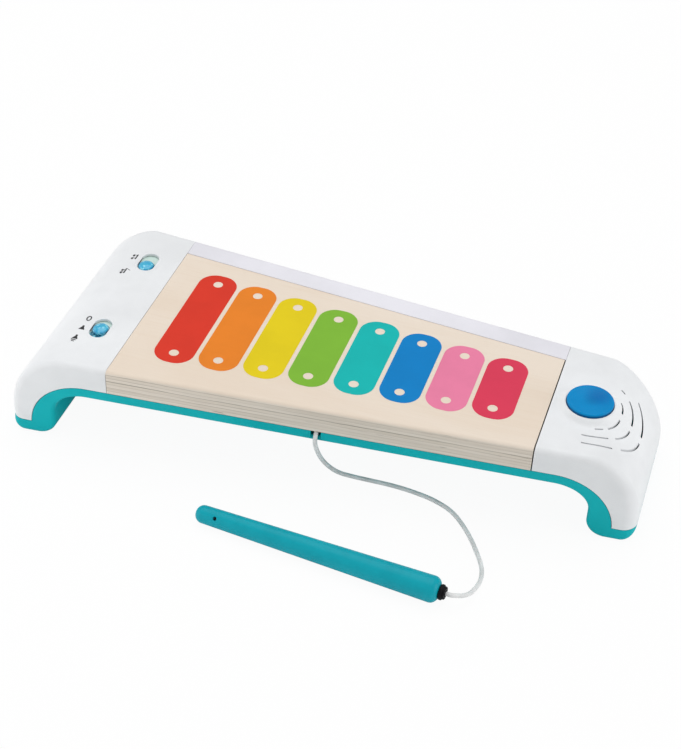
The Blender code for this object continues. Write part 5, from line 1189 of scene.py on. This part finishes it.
def make_bottom():
    """The coloured bottom in one moulding: belly, legs, wells, battery bay and speaker seat."""
    name = "bench_bottom"
    rows = np.concatenate((bottom_rows(-1)[:0:-1], bottom_rows(1)))
    mesh = make_mesh(name, rows, grid_faces(*rows.shape[:2], flip=True), outward=False)
    half = BOTTOM_WALL / 2
    inside = BELLY_Z + half
    outside = BELLY_Z - REACH
    recess_top = BELLY_Z + DOOR_THICKNESS + CLEARANCE
    ledge_top = recess_top + DOOR_PAD_LEDGE
    wells = [(place, BELLY_Z, WELL_LEDGE_DEPTH, top)
             for places, top in ((PANEL_SCREWS, PANEL_BOTTOM_Z - CLEARANCE),
                                 (END_SCREWS, BELLY_Z + WELL_LEDGE_DEPTH + WELL_WALL))
             for place in places]
    wells += [(place, 0, FOOT_WELL_DEPTH, FOOT_WELL_DEPTH + WELL_WALL) for place in FOOT_SCREWS]
    posts = [disc(*place, WELL_RADIUS, floor + half, top, 40) for place, floor, depth, top in wells]
    bores = [disc(*place, WELL_BORE_RADIUS, floor - REACH, floor + depth, 40)
             for place, floor, depth, top in wells]
    holes = [disc(*place, SCREW_HOLE_RADIUS, floor + depth - WELL_WALL / 2, top + REACH, 24)
             for place, floor, depth, top in wells]
    adds = [
        posts,
        [block(0, BATTERY_Y, BAY_HALF_LENGTH + BAY_WALL, BAY_HALF_WIDTH + BAY_WALL, inside,
               BAY_ROOF_Z + BAY_WALL)],
        [prism(door_outline(DOOR_PAD_EDGE), inside, ledge_top)],
        [disc(*DOOR_SCREW, DOOR_TAB_RADIUS + DOOR_PAD_EDGE, inside, ledge_top)],
        [disc(*DOOR_SCREW, WELL_RADIUS, inside, DOOR_BOSS_TOP_Z)],
        [seat_column(SPEAKER_SEAT_RADIUS, half, SPEAKER_SEAT_Z)],
    ]
    hollow = block(0, BATTERY_Y, BAY_HALF_LENGTH, BAY_HALF_WIDTH, outside, BAY_ROOF_Z)
    screw_bore = disc(*DOOR_SCREW, SCREW_RADIUS + CLEARANCE, BELLY_Z, DOOR_BOSS_TOP_Z - half, 24)
    cuts = [
        [seat_column(SPEAKER_SEAT_RADIUS - SPEAKER_SEAT_WALL, WALL + CLEARANCE, SPEAKER_SEAT_Z + REACH)],
        [prism(door_outline(CLEARANCE), outside, recess_top)],
        [disc(*DOOR_SCREW, DOOR_TAB_RADIUS + CLEARANCE, outside, recess_top)],
        [*bores, hollow, screw_bore, notch_cut()],
        holes,
    ]
    mesh = carved(name, walled(name, mesh, BOTTOM_WALL), adds, cuts)
    make_piece(name, mesh, "bench", TEAL, "bottom_housing")


make_bottom()


# Rear strip, panel and bars

def ribs(x, *parts):
    """Rows of points, one at each x, from pairs of y and z laid side by side."""
    pairs = [np.broadcast_arrays(y, z) for y, z in parts]
    y, z = (np.hstack([pair[axis] for pair in pairs]) for axis in (0, 1))
    return np.stack((np.repeat(x, y.shape[1], axis=1), y, z), axis=-1)


def make_strip():
    """The strip behind the panel: level, a quarter circle over its rear edge, then straight down."""
    x = np.linspace(-STRIP_HALF_LENGTH, STRIP_HALF_LENGTH, 60)[:, None]
    angle = np.linspace(0, np.pi / 2, 14)[None, :]
    front = panel_rear_y(x) + SEAM_GAP
    edge = rear_y(x) - TOP_EDGE_RADIUS * (1 - np.sin(angle))
    level = front + (edge[:, :1] - front) * np.array(STRIP_SHARES)
    rows = ribs(x, (level, HEIGHT), (edge, HEIGHT - TOP_EDGE_RADIUS * (1 - np.cos(angle))),
                (rear_y(x), PARTING_Z + PARTING_GAP / 2))
    mesh = make_mesh("back_strip", rows, grid_faces(*rows.shape[:2]), outward=False)
    make_piece("back_strip", walled("back_strip", mesh, STRIP_WALL), "bench", FROSTED, "rear_strip")


def make_panel():
    """The plywood: a section with a rounded front edge, carried along X and routed from below."""
    x = np.linspace(PANEL_LEFT, PANEL_RIGHT, 64)[:, None]
    angle = np.linspace(0, np.pi / 2, 10)[None, :]
    early, late = 1 - np.cos(angle), 1 - np.sin(angle)
    rows = ribs(x, (front_y(x), PANEL_BOTTOM_Z),
                (front_y(x) + PANEL_EDGE_RADIUS * early, HEIGHT - PANEL_EDGE_RADIUS * late),
                (panel_rear_y(x) - PANEL_REAR_RADIUS * late, HEIGHT - PANEL_REAR_RADIUS * early),
                (panel_rear_y(x), PANEL_BOTTOM_Z))
    half = PANEL_HALF_LENGTH - PANEL_RIM
    pocket = rounded_outline([(-half, front_y(-half) + PANEL_RIM), (half, front_y(half) + PANEL_RIM),
                              (half, panel_rear_y(half) - PANEL_RIM),
                              (-half, panel_rear_y(-half) - PANEL_RIM)], POCKET_CORNER_RADIUS, 8)
    screw_top = BELLY_Z + WELL_LEDGE_DEPTH + SCREW_LENGTH + CLEARANCE
    holes = [disc(x, y, SCREW_RADIUS + CLEARANCE, PANEL_BOTTOM_Z - REACH, screw_top, 24)
             for x, y in PANEL_SCREWS]
    sensor = [(x, front_y(x) + SENSOR_SCREW_FROM_EDGE) for x in (-SENSOR_SCREW_X, SENSOR_SCREW_X)]
    sensor += [(0, panel_rear_y(0) - SENSOR_SCREW_FROM_EDGE)]
    holes += [disc(x, y, SENSOR_SCREW_RADIUS, SKIN_Z - CLEARANCE, SKIN_Z + SENSOR_SCREW_DEPTH, 24)
              for x, y in sensor]
    mesh = carved("key_panel", make_mesh("key_panel", *capped(rows)),
                  cut=[[prism(pocket, PANEL_BOTTOM_Z - REACH, SKIN_Z)], holes])
    make_piece("key_panel", mesh, "bench", plywood_finish(), "wood_panel", 35)


def make_bars():
    """Eight printed bars: rounded plates with a dot left open near both ends."""
    for index, (colour, rgb) in enumerate(BAR_COLOURS.items()):
        name = colour + "_bar"
        x = (index - (BAR_COUNT - 1) / 2) * BAR_PITCH
        half = (LONGEST_BAR + (SHORTEST_BAR - LONGEST_BAR) * index / (BAR_COUNT - 1)) / 2
        plate = upright(rounded_outline(rectangle(x, 0, BAR_WIDTH / 2, half), BAR_CORNER_RADIUS, 24),
                        ((0, PRINT_LOW), (0, PRINT_HIGH - PRINT_EASE), (PRINT_EASE, PRINT_HIGH)))
        dots = [disc(x, sign * (half - DOT_FROM_END), DOT_RADIUS, HEIGHT - REACH, HEIGHT + REACH)
                for sign in (-1, 1)]
        mesh = carved(name, make_mesh(name, *plate), cut=[dots])
        make_piece(name, mesh, "bench", ink(colour + "_ink", rgb), "note_bar_" + colour, 30)


make_strip()
make_panel()
make_bars()


# Button, switches and signs

def make_button():
    """The push button: a shallow dish, height falling with the square of the radius, with a flange."""
    dish = BUTTON_RADIUS - 2 * BUTTON_EDGE_RADIUS
    share = np.linspace(0, 1, 14)
    top = np.column_stack((dish * share, BUTTON_TOP - BUTTON_DISH * (1 - share ** 2)))
    edge = corner_arc((BUTTON_RADIUS - BUTTON_EDGE_RADIUS, BUTTON_TOP - BUTTON_EDGE_RADIUS),
                      BUTTON_EDGE_RADIUS, 90, 0, 10)
    inner = BUTTON_RADIUS - BUTTON_WALL
    roof = BUTTON_TOP - BUTTON_DISH - BUTTON_WALL
    low = [(BUTTON_RADIUS, BUTTON_FLANGE_TOP), (BUTTON_FLANGE_RADIUS, BUTTON_FLANGE_TOP),
           (BUTTON_FLANGE_RADIUS, BUTTON_FLANGE_LOW), (inner, BUTTON_FLANGE_LOW), (inner, roof),
           (BUTTON_STEM_RADIUS, roof), (BUTTON_STEM_RADIUS, BUTTON_STEM_LOW), (0, BUTTON_STEM_LOW)]
    mesh = make_mesh("button_cap", *moved(turned(np.vstack((top, edge, low)), 96), (*BUTTON, 0)))
    make_piece("button_cap", mesh, "button", button_finish(), "push_button")


def make_dome():
    """The silicone dome under the button's stem: a round-shouldered pad, flattened by the button."""
    shoulder = DOME_HEIGHT / 2
    edge = corner_arc((DOME_RADIUS - shoulder, shoulder), shoulder, 90, 0, 10)
    profile = np.vstack(((0, DOME_HEIGHT), edge, (DOME_RADIUS, 0), (0, 0)))
    mesh = make_mesh("silicone_dome", *moved(turned(profile, 48), (*BUTTON, DOME_LOW)))
    piece = make_piece("silicone_dome", mesh, "bench", rubber_finish("silicone", (205, 205, 200), 0.6),
                       "button_dome")
    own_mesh(piece)


def make_knob(switch, y):
    """A clear oval knob, a quarter ellipse up from its shoulder, and the slider plate under it."""
    turn = np.radians(np.linspace(0, 90, 16))[:-1]
    curve = zip(np.cos(turn), KNOB_SHOULDER + (KNOB_TOP - KNOB_SHOULDER) * np.sin(turn))
    rings = [np.column_stack((ellipse(SWITCH_X, y, share * KNOB_WIDTH / 2, share * KNOB_LENGTH / 2, 72),
                              np.full(72, height)))
             for share, height in [(0, SLIDER_TOP), (1, SLIDER_TOP), *curve, (0, KNOB_TOP)]]
    dome = make_mesh(switch + "_dome", np.stack(rings), grid_faces(len(rings), 72, around=True))
    # Painted shade: the skirt is a thin dark sheet that fills the gap ahead of the knob, where shade
    # falls.
    skirt = prism(oval(y + SKIRT_SHIFT, SKIRT_LENGTH, KNOB_WIDTH), SLIDER_TOP, SKIRT_TOP)
    make_piece(switch + "_dome", carved(switch + "_dome", dome, add=[[skirt]]), switch, CLEAR_BLUE,
               switch + "_knob", 50)
    plate = block(SWITCH_X, y, SLIDER_WIDTH / 2, SLIDER_LENGTH / 2, SLIDER_LOW, SLIDER_TOP)
    peg = block(SWITCH_X, y, PEG_WIDTH / 2, PEG_LENGTH / 2, SLIDER_LOW - PEG_DEPTH,
                SLIDER_LOW + PEG_OVERLAP)
    mesh = carved(switch + "_slider", make_mesh(switch + "_slider", *plate), add=[[peg]])
    make_piece(switch + "_slider", mesh, switch, SLIDER, None, 30)


def make_lip(name, y):
    """The soft lip round a switch's hole: a low swell, drawn round the hole's outline."""
    turn = np.radians(np.linspace(180, 0, 13))
    swell = np.column_stack((-LIP_WIDTH / 2 * (1 + np.cos(turn)),
                             HEIGHT - LIP_SINK + (LIP_RISE + LIP_SINK) * np.sin(turn)))
    levels = [(0, HEIGHT - LIP_DEPTH), *swell, (-LIP_WIDTH, HEIGHT - LIP_DEPTH)]
    ring = hoop(raised(oval(y, SWITCH_SLOT_LENGTH, SWITCH_SLOT_WIDTH, 20), levels))
    make_piece(name, make_mesh(name, *ring), "bench", WHITE, None, 60)


def stroke(start, end, width):
    """The outline of a straight stroke between two points."""
    start, end = np.array(start, float), np.array(end, float)
    along = (end - start) / np.linalg.norm(end - start) * width / 2
    across = np.array((-along[1], along[0]))
    return np.array((start - across, end - across, end + across, start + across))


def note_sign(x, y, reach, spread, length):
    """Two notes lying on their side: two heads, two stems and the thick beam that joins them."""
    heads = [ellipse(x, at, *NOTE_HEAD, 24) for at in (y, y + spread)]
    stems = [stroke((x, at + NOTE_STEM_SIDE), (x + reach, at + NOTE_STEM_SIDE), NOTE_STEM)
             for at in (y, y + spread)]
    return [*heads, *stems, stroke((x + reach, y - NOTE_STEM / 2), (x + reach, y + length), NOTE_BEAM)]


def make_signs():
    """The printed signs beside the switches: off, low and loud; and two pairs of notes."""
    low, high = HEIGHT - SIGN_HEIGHT, HEIGHT + SIGN_HEIGHT
    outer, inner = (ellipse(0, OFF_SIGN_Y, *radii, 40) for radii in OFF_SIGN_RADII)
    ring = hoop([np.column_stack((loop, np.full(40, z)))
                 for loop, z in ((outer, low), (outer, high), (inner, high), (inner, low))])
    outlines = [np.array(SPEAKER_OUTLINE) + (0, y) for y in SPEAKER_SIGN_YS]
    outlines += [stroke((start, SPEAKER_SIGN_YS[1] + y), (end, SPEAKER_SIGN_YS[1] + y), width)
                 for start, end, y, width in LOUD_WAVES]
    for sign in NOTE_SIGNS:
        outlines += note_sign(*sign)
    outlines += [stroke(*NOTE_FLAG, NOTE_STEM)]
    parts = joined([ring, *(prism(outline, low, high) for outline in outlines)])
    mesh = make_mesh("switch_signs", *moved(parts, (SIGN_X, 0, 0)))
    make_piece("switch_signs", mesh, "bench", sign_finish(), None, 30)


make_button()
make_dome()
make_knob("mode_switch", SWITCH_Y["mode_switch"] - SWITCH_TRAVEL / 2)
make_knob("power_switch", SWITCH_Y["power_switch"])
for switch, hole_y in SWITCH_Y.items():
    make_lip(switch + "_lip", hole_y)
make_signs()


# Stylus and its collar

def make_stylus():
    """The stylus: a long taper with rounded ends, bored for its collar and across for its pin."""
    tip = corner_arc((STYLUS_TIP_RADIUS - STYLUS_TIP_ROUND, STYLUS_TIP_ROUND), STYLUS_TIP_ROUND,
                     -90, 0, 16)
    end = corner_arc((STYLUS_END_RADIUS - STYLUS_END_ROUND, STYLUS_LENGTH - STYLUS_END_ROUND),
                     STYLUS_END_ROUND, 0, 90, 14)
    taper = tip[-1] + (end[0] - tip[-1]) * np.linspace(0, 1, 42)[1:-1, None]
    profile = np.vstack(((0, 0), tip, taper, end, (0, STYLUS_LENGTH)))
    bore = disc(0, 0, STYLUS_BORE_RADIUS, STYLUS_LENGTH - STYLUS_BORE_DEPTH, STYLUS_LENGTH + REACH, 40)
    points, faces = disc(0, 0, STYLUS_HOLE_RADIUS, STYLUS_TIP_RADIUS - STYLUS_HOLE_DEPTH,
                         STYLUS_TIP_RADIUS + REACH, 32)
    turn = Vector((0, 0, 1)).rotation_difference(Vector((math.cos(STYLUS_HOLE_TILT),
                                                         math.sin(STYLUS_HOLE_TILT), 0)))
    hole = (points @ np.array(turn.to_matrix()).T + (0, 0, STYLUS_HOLE_FROM_TIP), faces)
    mesh = carved("stylus_shaft", make_mesh("stylus_shaft", *lying(turned(profile, 64))),
                  cut=[[lying(bore)], [lying(hole)]])
    make_piece("stylus_shaft", mesh, "stylus", painted_stylus_finish(), "stylus_body")


def make_collar():
    """The rubber collar: a rounded ring, a smaller nose for the cord, and a spigot in the stylus."""
    base = STYLUS_LENGTH + CLEARANCE
    spigot = STYLUS_LENGTH - COLLAR_SPIGOT_LENGTH
    top = base + COLLAR_RING_LENGTH
    waist = base + COLLAR_RING_LENGTH * COLLAR_WAIST_SHARE
    neck = STYLUS_BORE_RADIUS - CLEARANCE
    ease = COLLAR_EASE
    profile = np.vstack((
        (0, spigot), (neck, spigot), (neck, base),
        corner_arc((COLLAR_RING_RADIUS - ease, base + ease), ease, -90, 0, 6),
        corner_arc((COLLAR_RING_RADIUS - ease, waist - ease), ease, 0, 90, 6),
        (COLLAR_NOSE_RADIUS, waist),
        corner_arc((COLLAR_NOSE_RADIUS - ease, top - ease), ease, 0, 90, 8),
        corner_arc((CORD_RADIUS + 1.5 * ease, top - ease / 2), ease / 2, 90, 180, 5),
        (0, top - ease)))
    mesh = make_mesh("stylus_grommet", *lying(turned(profile, 64)))
    make_piece("stylus_grommet", mesh, "stylus", rubber_finish("black_rubber", (10, 8, 13), 0.5),
               "stylus_collar", 50)


make_stylus()
make_collar()


# Door, screws and cells

def make_door():
    """The battery door: a plate with an eased lower edge, a round tab and its screw's seat."""
    high = BELLY_Z + DOOR_THICKNESS
    levels = ((DOOR_EASE, BELLY_Z), (0, BELLY_Z + DOOR_EASE), (0, high))
    tab = upright(ellipse(*DOOR_SCREW, DOOR_TAB_RADIUS, DOOR_TAB_RADIUS, 48), levels)
    head = disc(*DOOR_SCREW, DOOR_SCREW_HEAD_RADIUS + CLEARANCE, BELLY_Z - REACH,
                BELLY_Z + DOOR_SCREW_HEAD + CLEARANCE)
    hole = disc(*DOOR_SCREW, SCREW_HOLE_RADIUS, BELLY_Z - REACH, high + REACH, 32)
    mesh = make_mesh("battery_lid", *upright(door_outline(0), levels))
    make_piece("battery_lid", carved("battery_lid", mesh, [[tab]], [[head], [hole]]), "battery_hatch",
               TEAL, "battery_door")


def make_screw(name, node, body, place, length, head_radius, head):
    """A cross-head screw: a pan head with a rounded edge, a plain shank and a cross cut in the head."""
    ease = head * SCREW_EASE_SHARE
    edge = corner_arc((head_radius - ease, -head + ease), ease, -90, 0, 8)
    profile = np.vstack(((0, -head), edge, (head_radius, 0), (SCREW_RADIUS, 0),
                         (SCREW_RADIUS, length - head), (0, length - head)))
    arm = head_radius * CROSS_ARM_SHARE
    wide = head_radius * CROSS_WIDTH_SHARE
    quarter = np.array(((arm, -wide), (arm, wide), (wide, wide)))
    cross = np.vstack([quarter @ np.linalg.matrix_power(np.array(((0, 1), (-1, 0))), turn)
                       for turn in range(4)])
    cut = moved(prism(cross, -2 * head, -head * CROSS_FLOOR_SHARE), place)
    mesh = carved(name, make_mesh(name, *moved(turned(profile, 40), place)), cut=[[cut]])
    make_piece(name, mesh, body, STEEL, node)


def make_fasteners():
    """The screws that a person can see in the wells and on the battery door."""
    seat = BELLY_Z + WELL_LEDGE_DEPTH - CLEARANCE
    rows = {"housing_screw_": [(*place, seat) for place in END_SCREWS]
                              + [(*place, FOOT_WELL_DEPTH - CLEARANCE) for place in FOOT_SCREWS],
            "panel_screw_": [(*place, seat) for place in PANEL_SCREWS]}
    for kind, places in rows.items():
        for number, place in enumerate(places, 1):
            node = kind + str(number)
            make_screw(node.replace("screw", "fixing"), node, "bench", place, SCREW_LENGTH,
                       SCREW_HEAD_RADIUS, SCREW_HEAD)
    make_screw("lid_fixing", "battery_door_screw", "battery_hatch",
               (*DOOR_SCREW, BELLY_Z + DOOR_SCREW_HEAD), DOOR_SCREW_LENGTH, DOOR_SCREW_HEAD_RADIUS,
               DOOR_SCREW_HEAD)


def make_cells():
    """Three cells laid head to tail: a wrapped can, a raised tip and a turned-in rim."""
    wrap = wrap_finish()
    rim = corner_arc((BATTERY_RADIUS - BATTERY_EASE, -BATTERY_EASE), BATTERY_EASE, 90, 0, 6)
    foot = corner_arc((BATTERY_RADIUS - BATTERY_EASE, BATTERY_EASE - BATTERY_LENGTH), BATTERY_EASE,
                      0, -90, 6)
    shoulder = corner_arc((BATTERY_TIP_RADIUS - BATTERY_TIP_EASE, BATTERY_TIP - BATTERY_TIP_EASE),
                          BATTERY_TIP_EASE, 90, 0, 4)
    profile = np.vstack(((0, BATTERY_TIP), shoulder, (BATTERY_TIP_RADIUS, 0), rim, foot,
                         (0, -BATTERY_LENGTH)))
    points, faces = moved(turned(profile, 48), (0, 0, BATTERY_TIP_X - BATTERY_TIP))
    for number, sign in enumerate((1, -1, 1), 1):
        along = points[:, ::-1] * (sign, 1, 1) + (0, BATTERY_Y + (number - 2) * BATTERY_PITCH,
                                                  BATTERY_AXIS_Z)
        name = "cell_" + str(number)
        make_piece(name, make_mesh(name, along, faces), "bench", wrap, "battery_" + str(number))


make_door()
make_fasteners()
make_cells()


# Inner parts, which keep their own solids

def dress(finish, *nodes):
    """Give solids of the CAD model their finish."""
    for node in nodes:
        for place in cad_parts[node].material_slots:
            place.material = finish


def numbered(name, count):
    """The names of several nodes of a kind."""
    return [name + "_" + str(number) for number in range(1, count + 1)]


dress(board_finish(), "sensor_board", "main_board", "switch_board")
dress(STEEL, "speaker_frame", "stylus_contact", "contact_strip_left", "contact_strip_right",
      *numbered("contact_spring", 3), *numbered("sensor_screw", 3), *numbered("main_board_screw", 2),
      *numbered("switch_board_screw", 2))
dress(metal_finish("zinc", (150, 154, 160), 0.38), "mode_switch_can", "power_switch_can")
dress(rubber_finish("black_plastic", (36, 36, 40), 0.45), "speaker_cone", "cord_clamp")
dress(rubber_finish("ferrite", (70, 70, 74), 0.55), "speaker_magnet")


# Lights, floor and world

def soft_light(name, place, aim, size, power):
    """A square lamp at a place, turned to its aim: its side in metres and its power in watts."""
    data = bpy.data.lights.new(name, "AREA")
    data.shape = "SQUARE"
    data.size = size
    data.energy = power
    light = loose(name, data)
    light.location = place
    light.rotation_euler = (Vector(aim) - Vector(place)).to_track_quat("-Z", "Y").to_euler()


def lay_floor():
    """A pale paper floor, which the camera sees nearly white and with the toy's shadow on it."""
    f = Finish("studio_paper")
    f.feed(Base_Color=(0.93, 0.93, 0.93, 1), Roughness=0.9)
    glow = f.node("ShaderNodeEmission", {}, {"Strength": 1.0})
    seen = f.node("ShaderNodeLightPath", output="Is Camera Ray")
    paper = f.node("ShaderNodeMixShader", {}, {0: seen * FLOOR_GLOW, 1: Value(f, f.shader.outputs[0]),
                                               2: glow})
    f.plug(f.tree.nodes["Material Output"].inputs["Surface"], paper)
    mesh = bpy.data.meshes.new("studio_floor")
    corners = rectangle(0, 0, FLOOR_REACH, FLOOR_REACH)
    mesh.from_pydata([(*corner, FLOOR_Z) for corner in corners], [], [(0, 1, 2, 3)])
    mesh.materials.append(f.material)
    loose("studio_floor", mesh)


def light_world():
    """A white world, weaker for every ray that doesn't come from the camera."""
    world = bpy.data.worlds.new("studio")
    bpy.context.scene.world = world
    world.use_nodes = True
    nodes = world.node_tree.nodes
    links = world.node_tree.links
    background = nodes["Background"]
    background.inputs["Color"].default_value = (1, 1, 1, 1)
    path = nodes.new("ShaderNodeLightPath")
    level = nodes.new("ShaderNodeMapRange")
    level.inputs["To Min"].default_value = WORLD_LIGHT
    level.inputs["To Max"].default_value = WORLD_SEEN
    links.new(path.outputs["Is Camera Ray"], level.inputs["Value"])
    links.new(level.outputs[0], background.inputs["Strength"])


bpy.context.scene.view_settings.view_transform = "Standard"
light_world()
lay_floor()
for lamp, settings in LAMPS.items():
    soft_light(lamp, *settings)
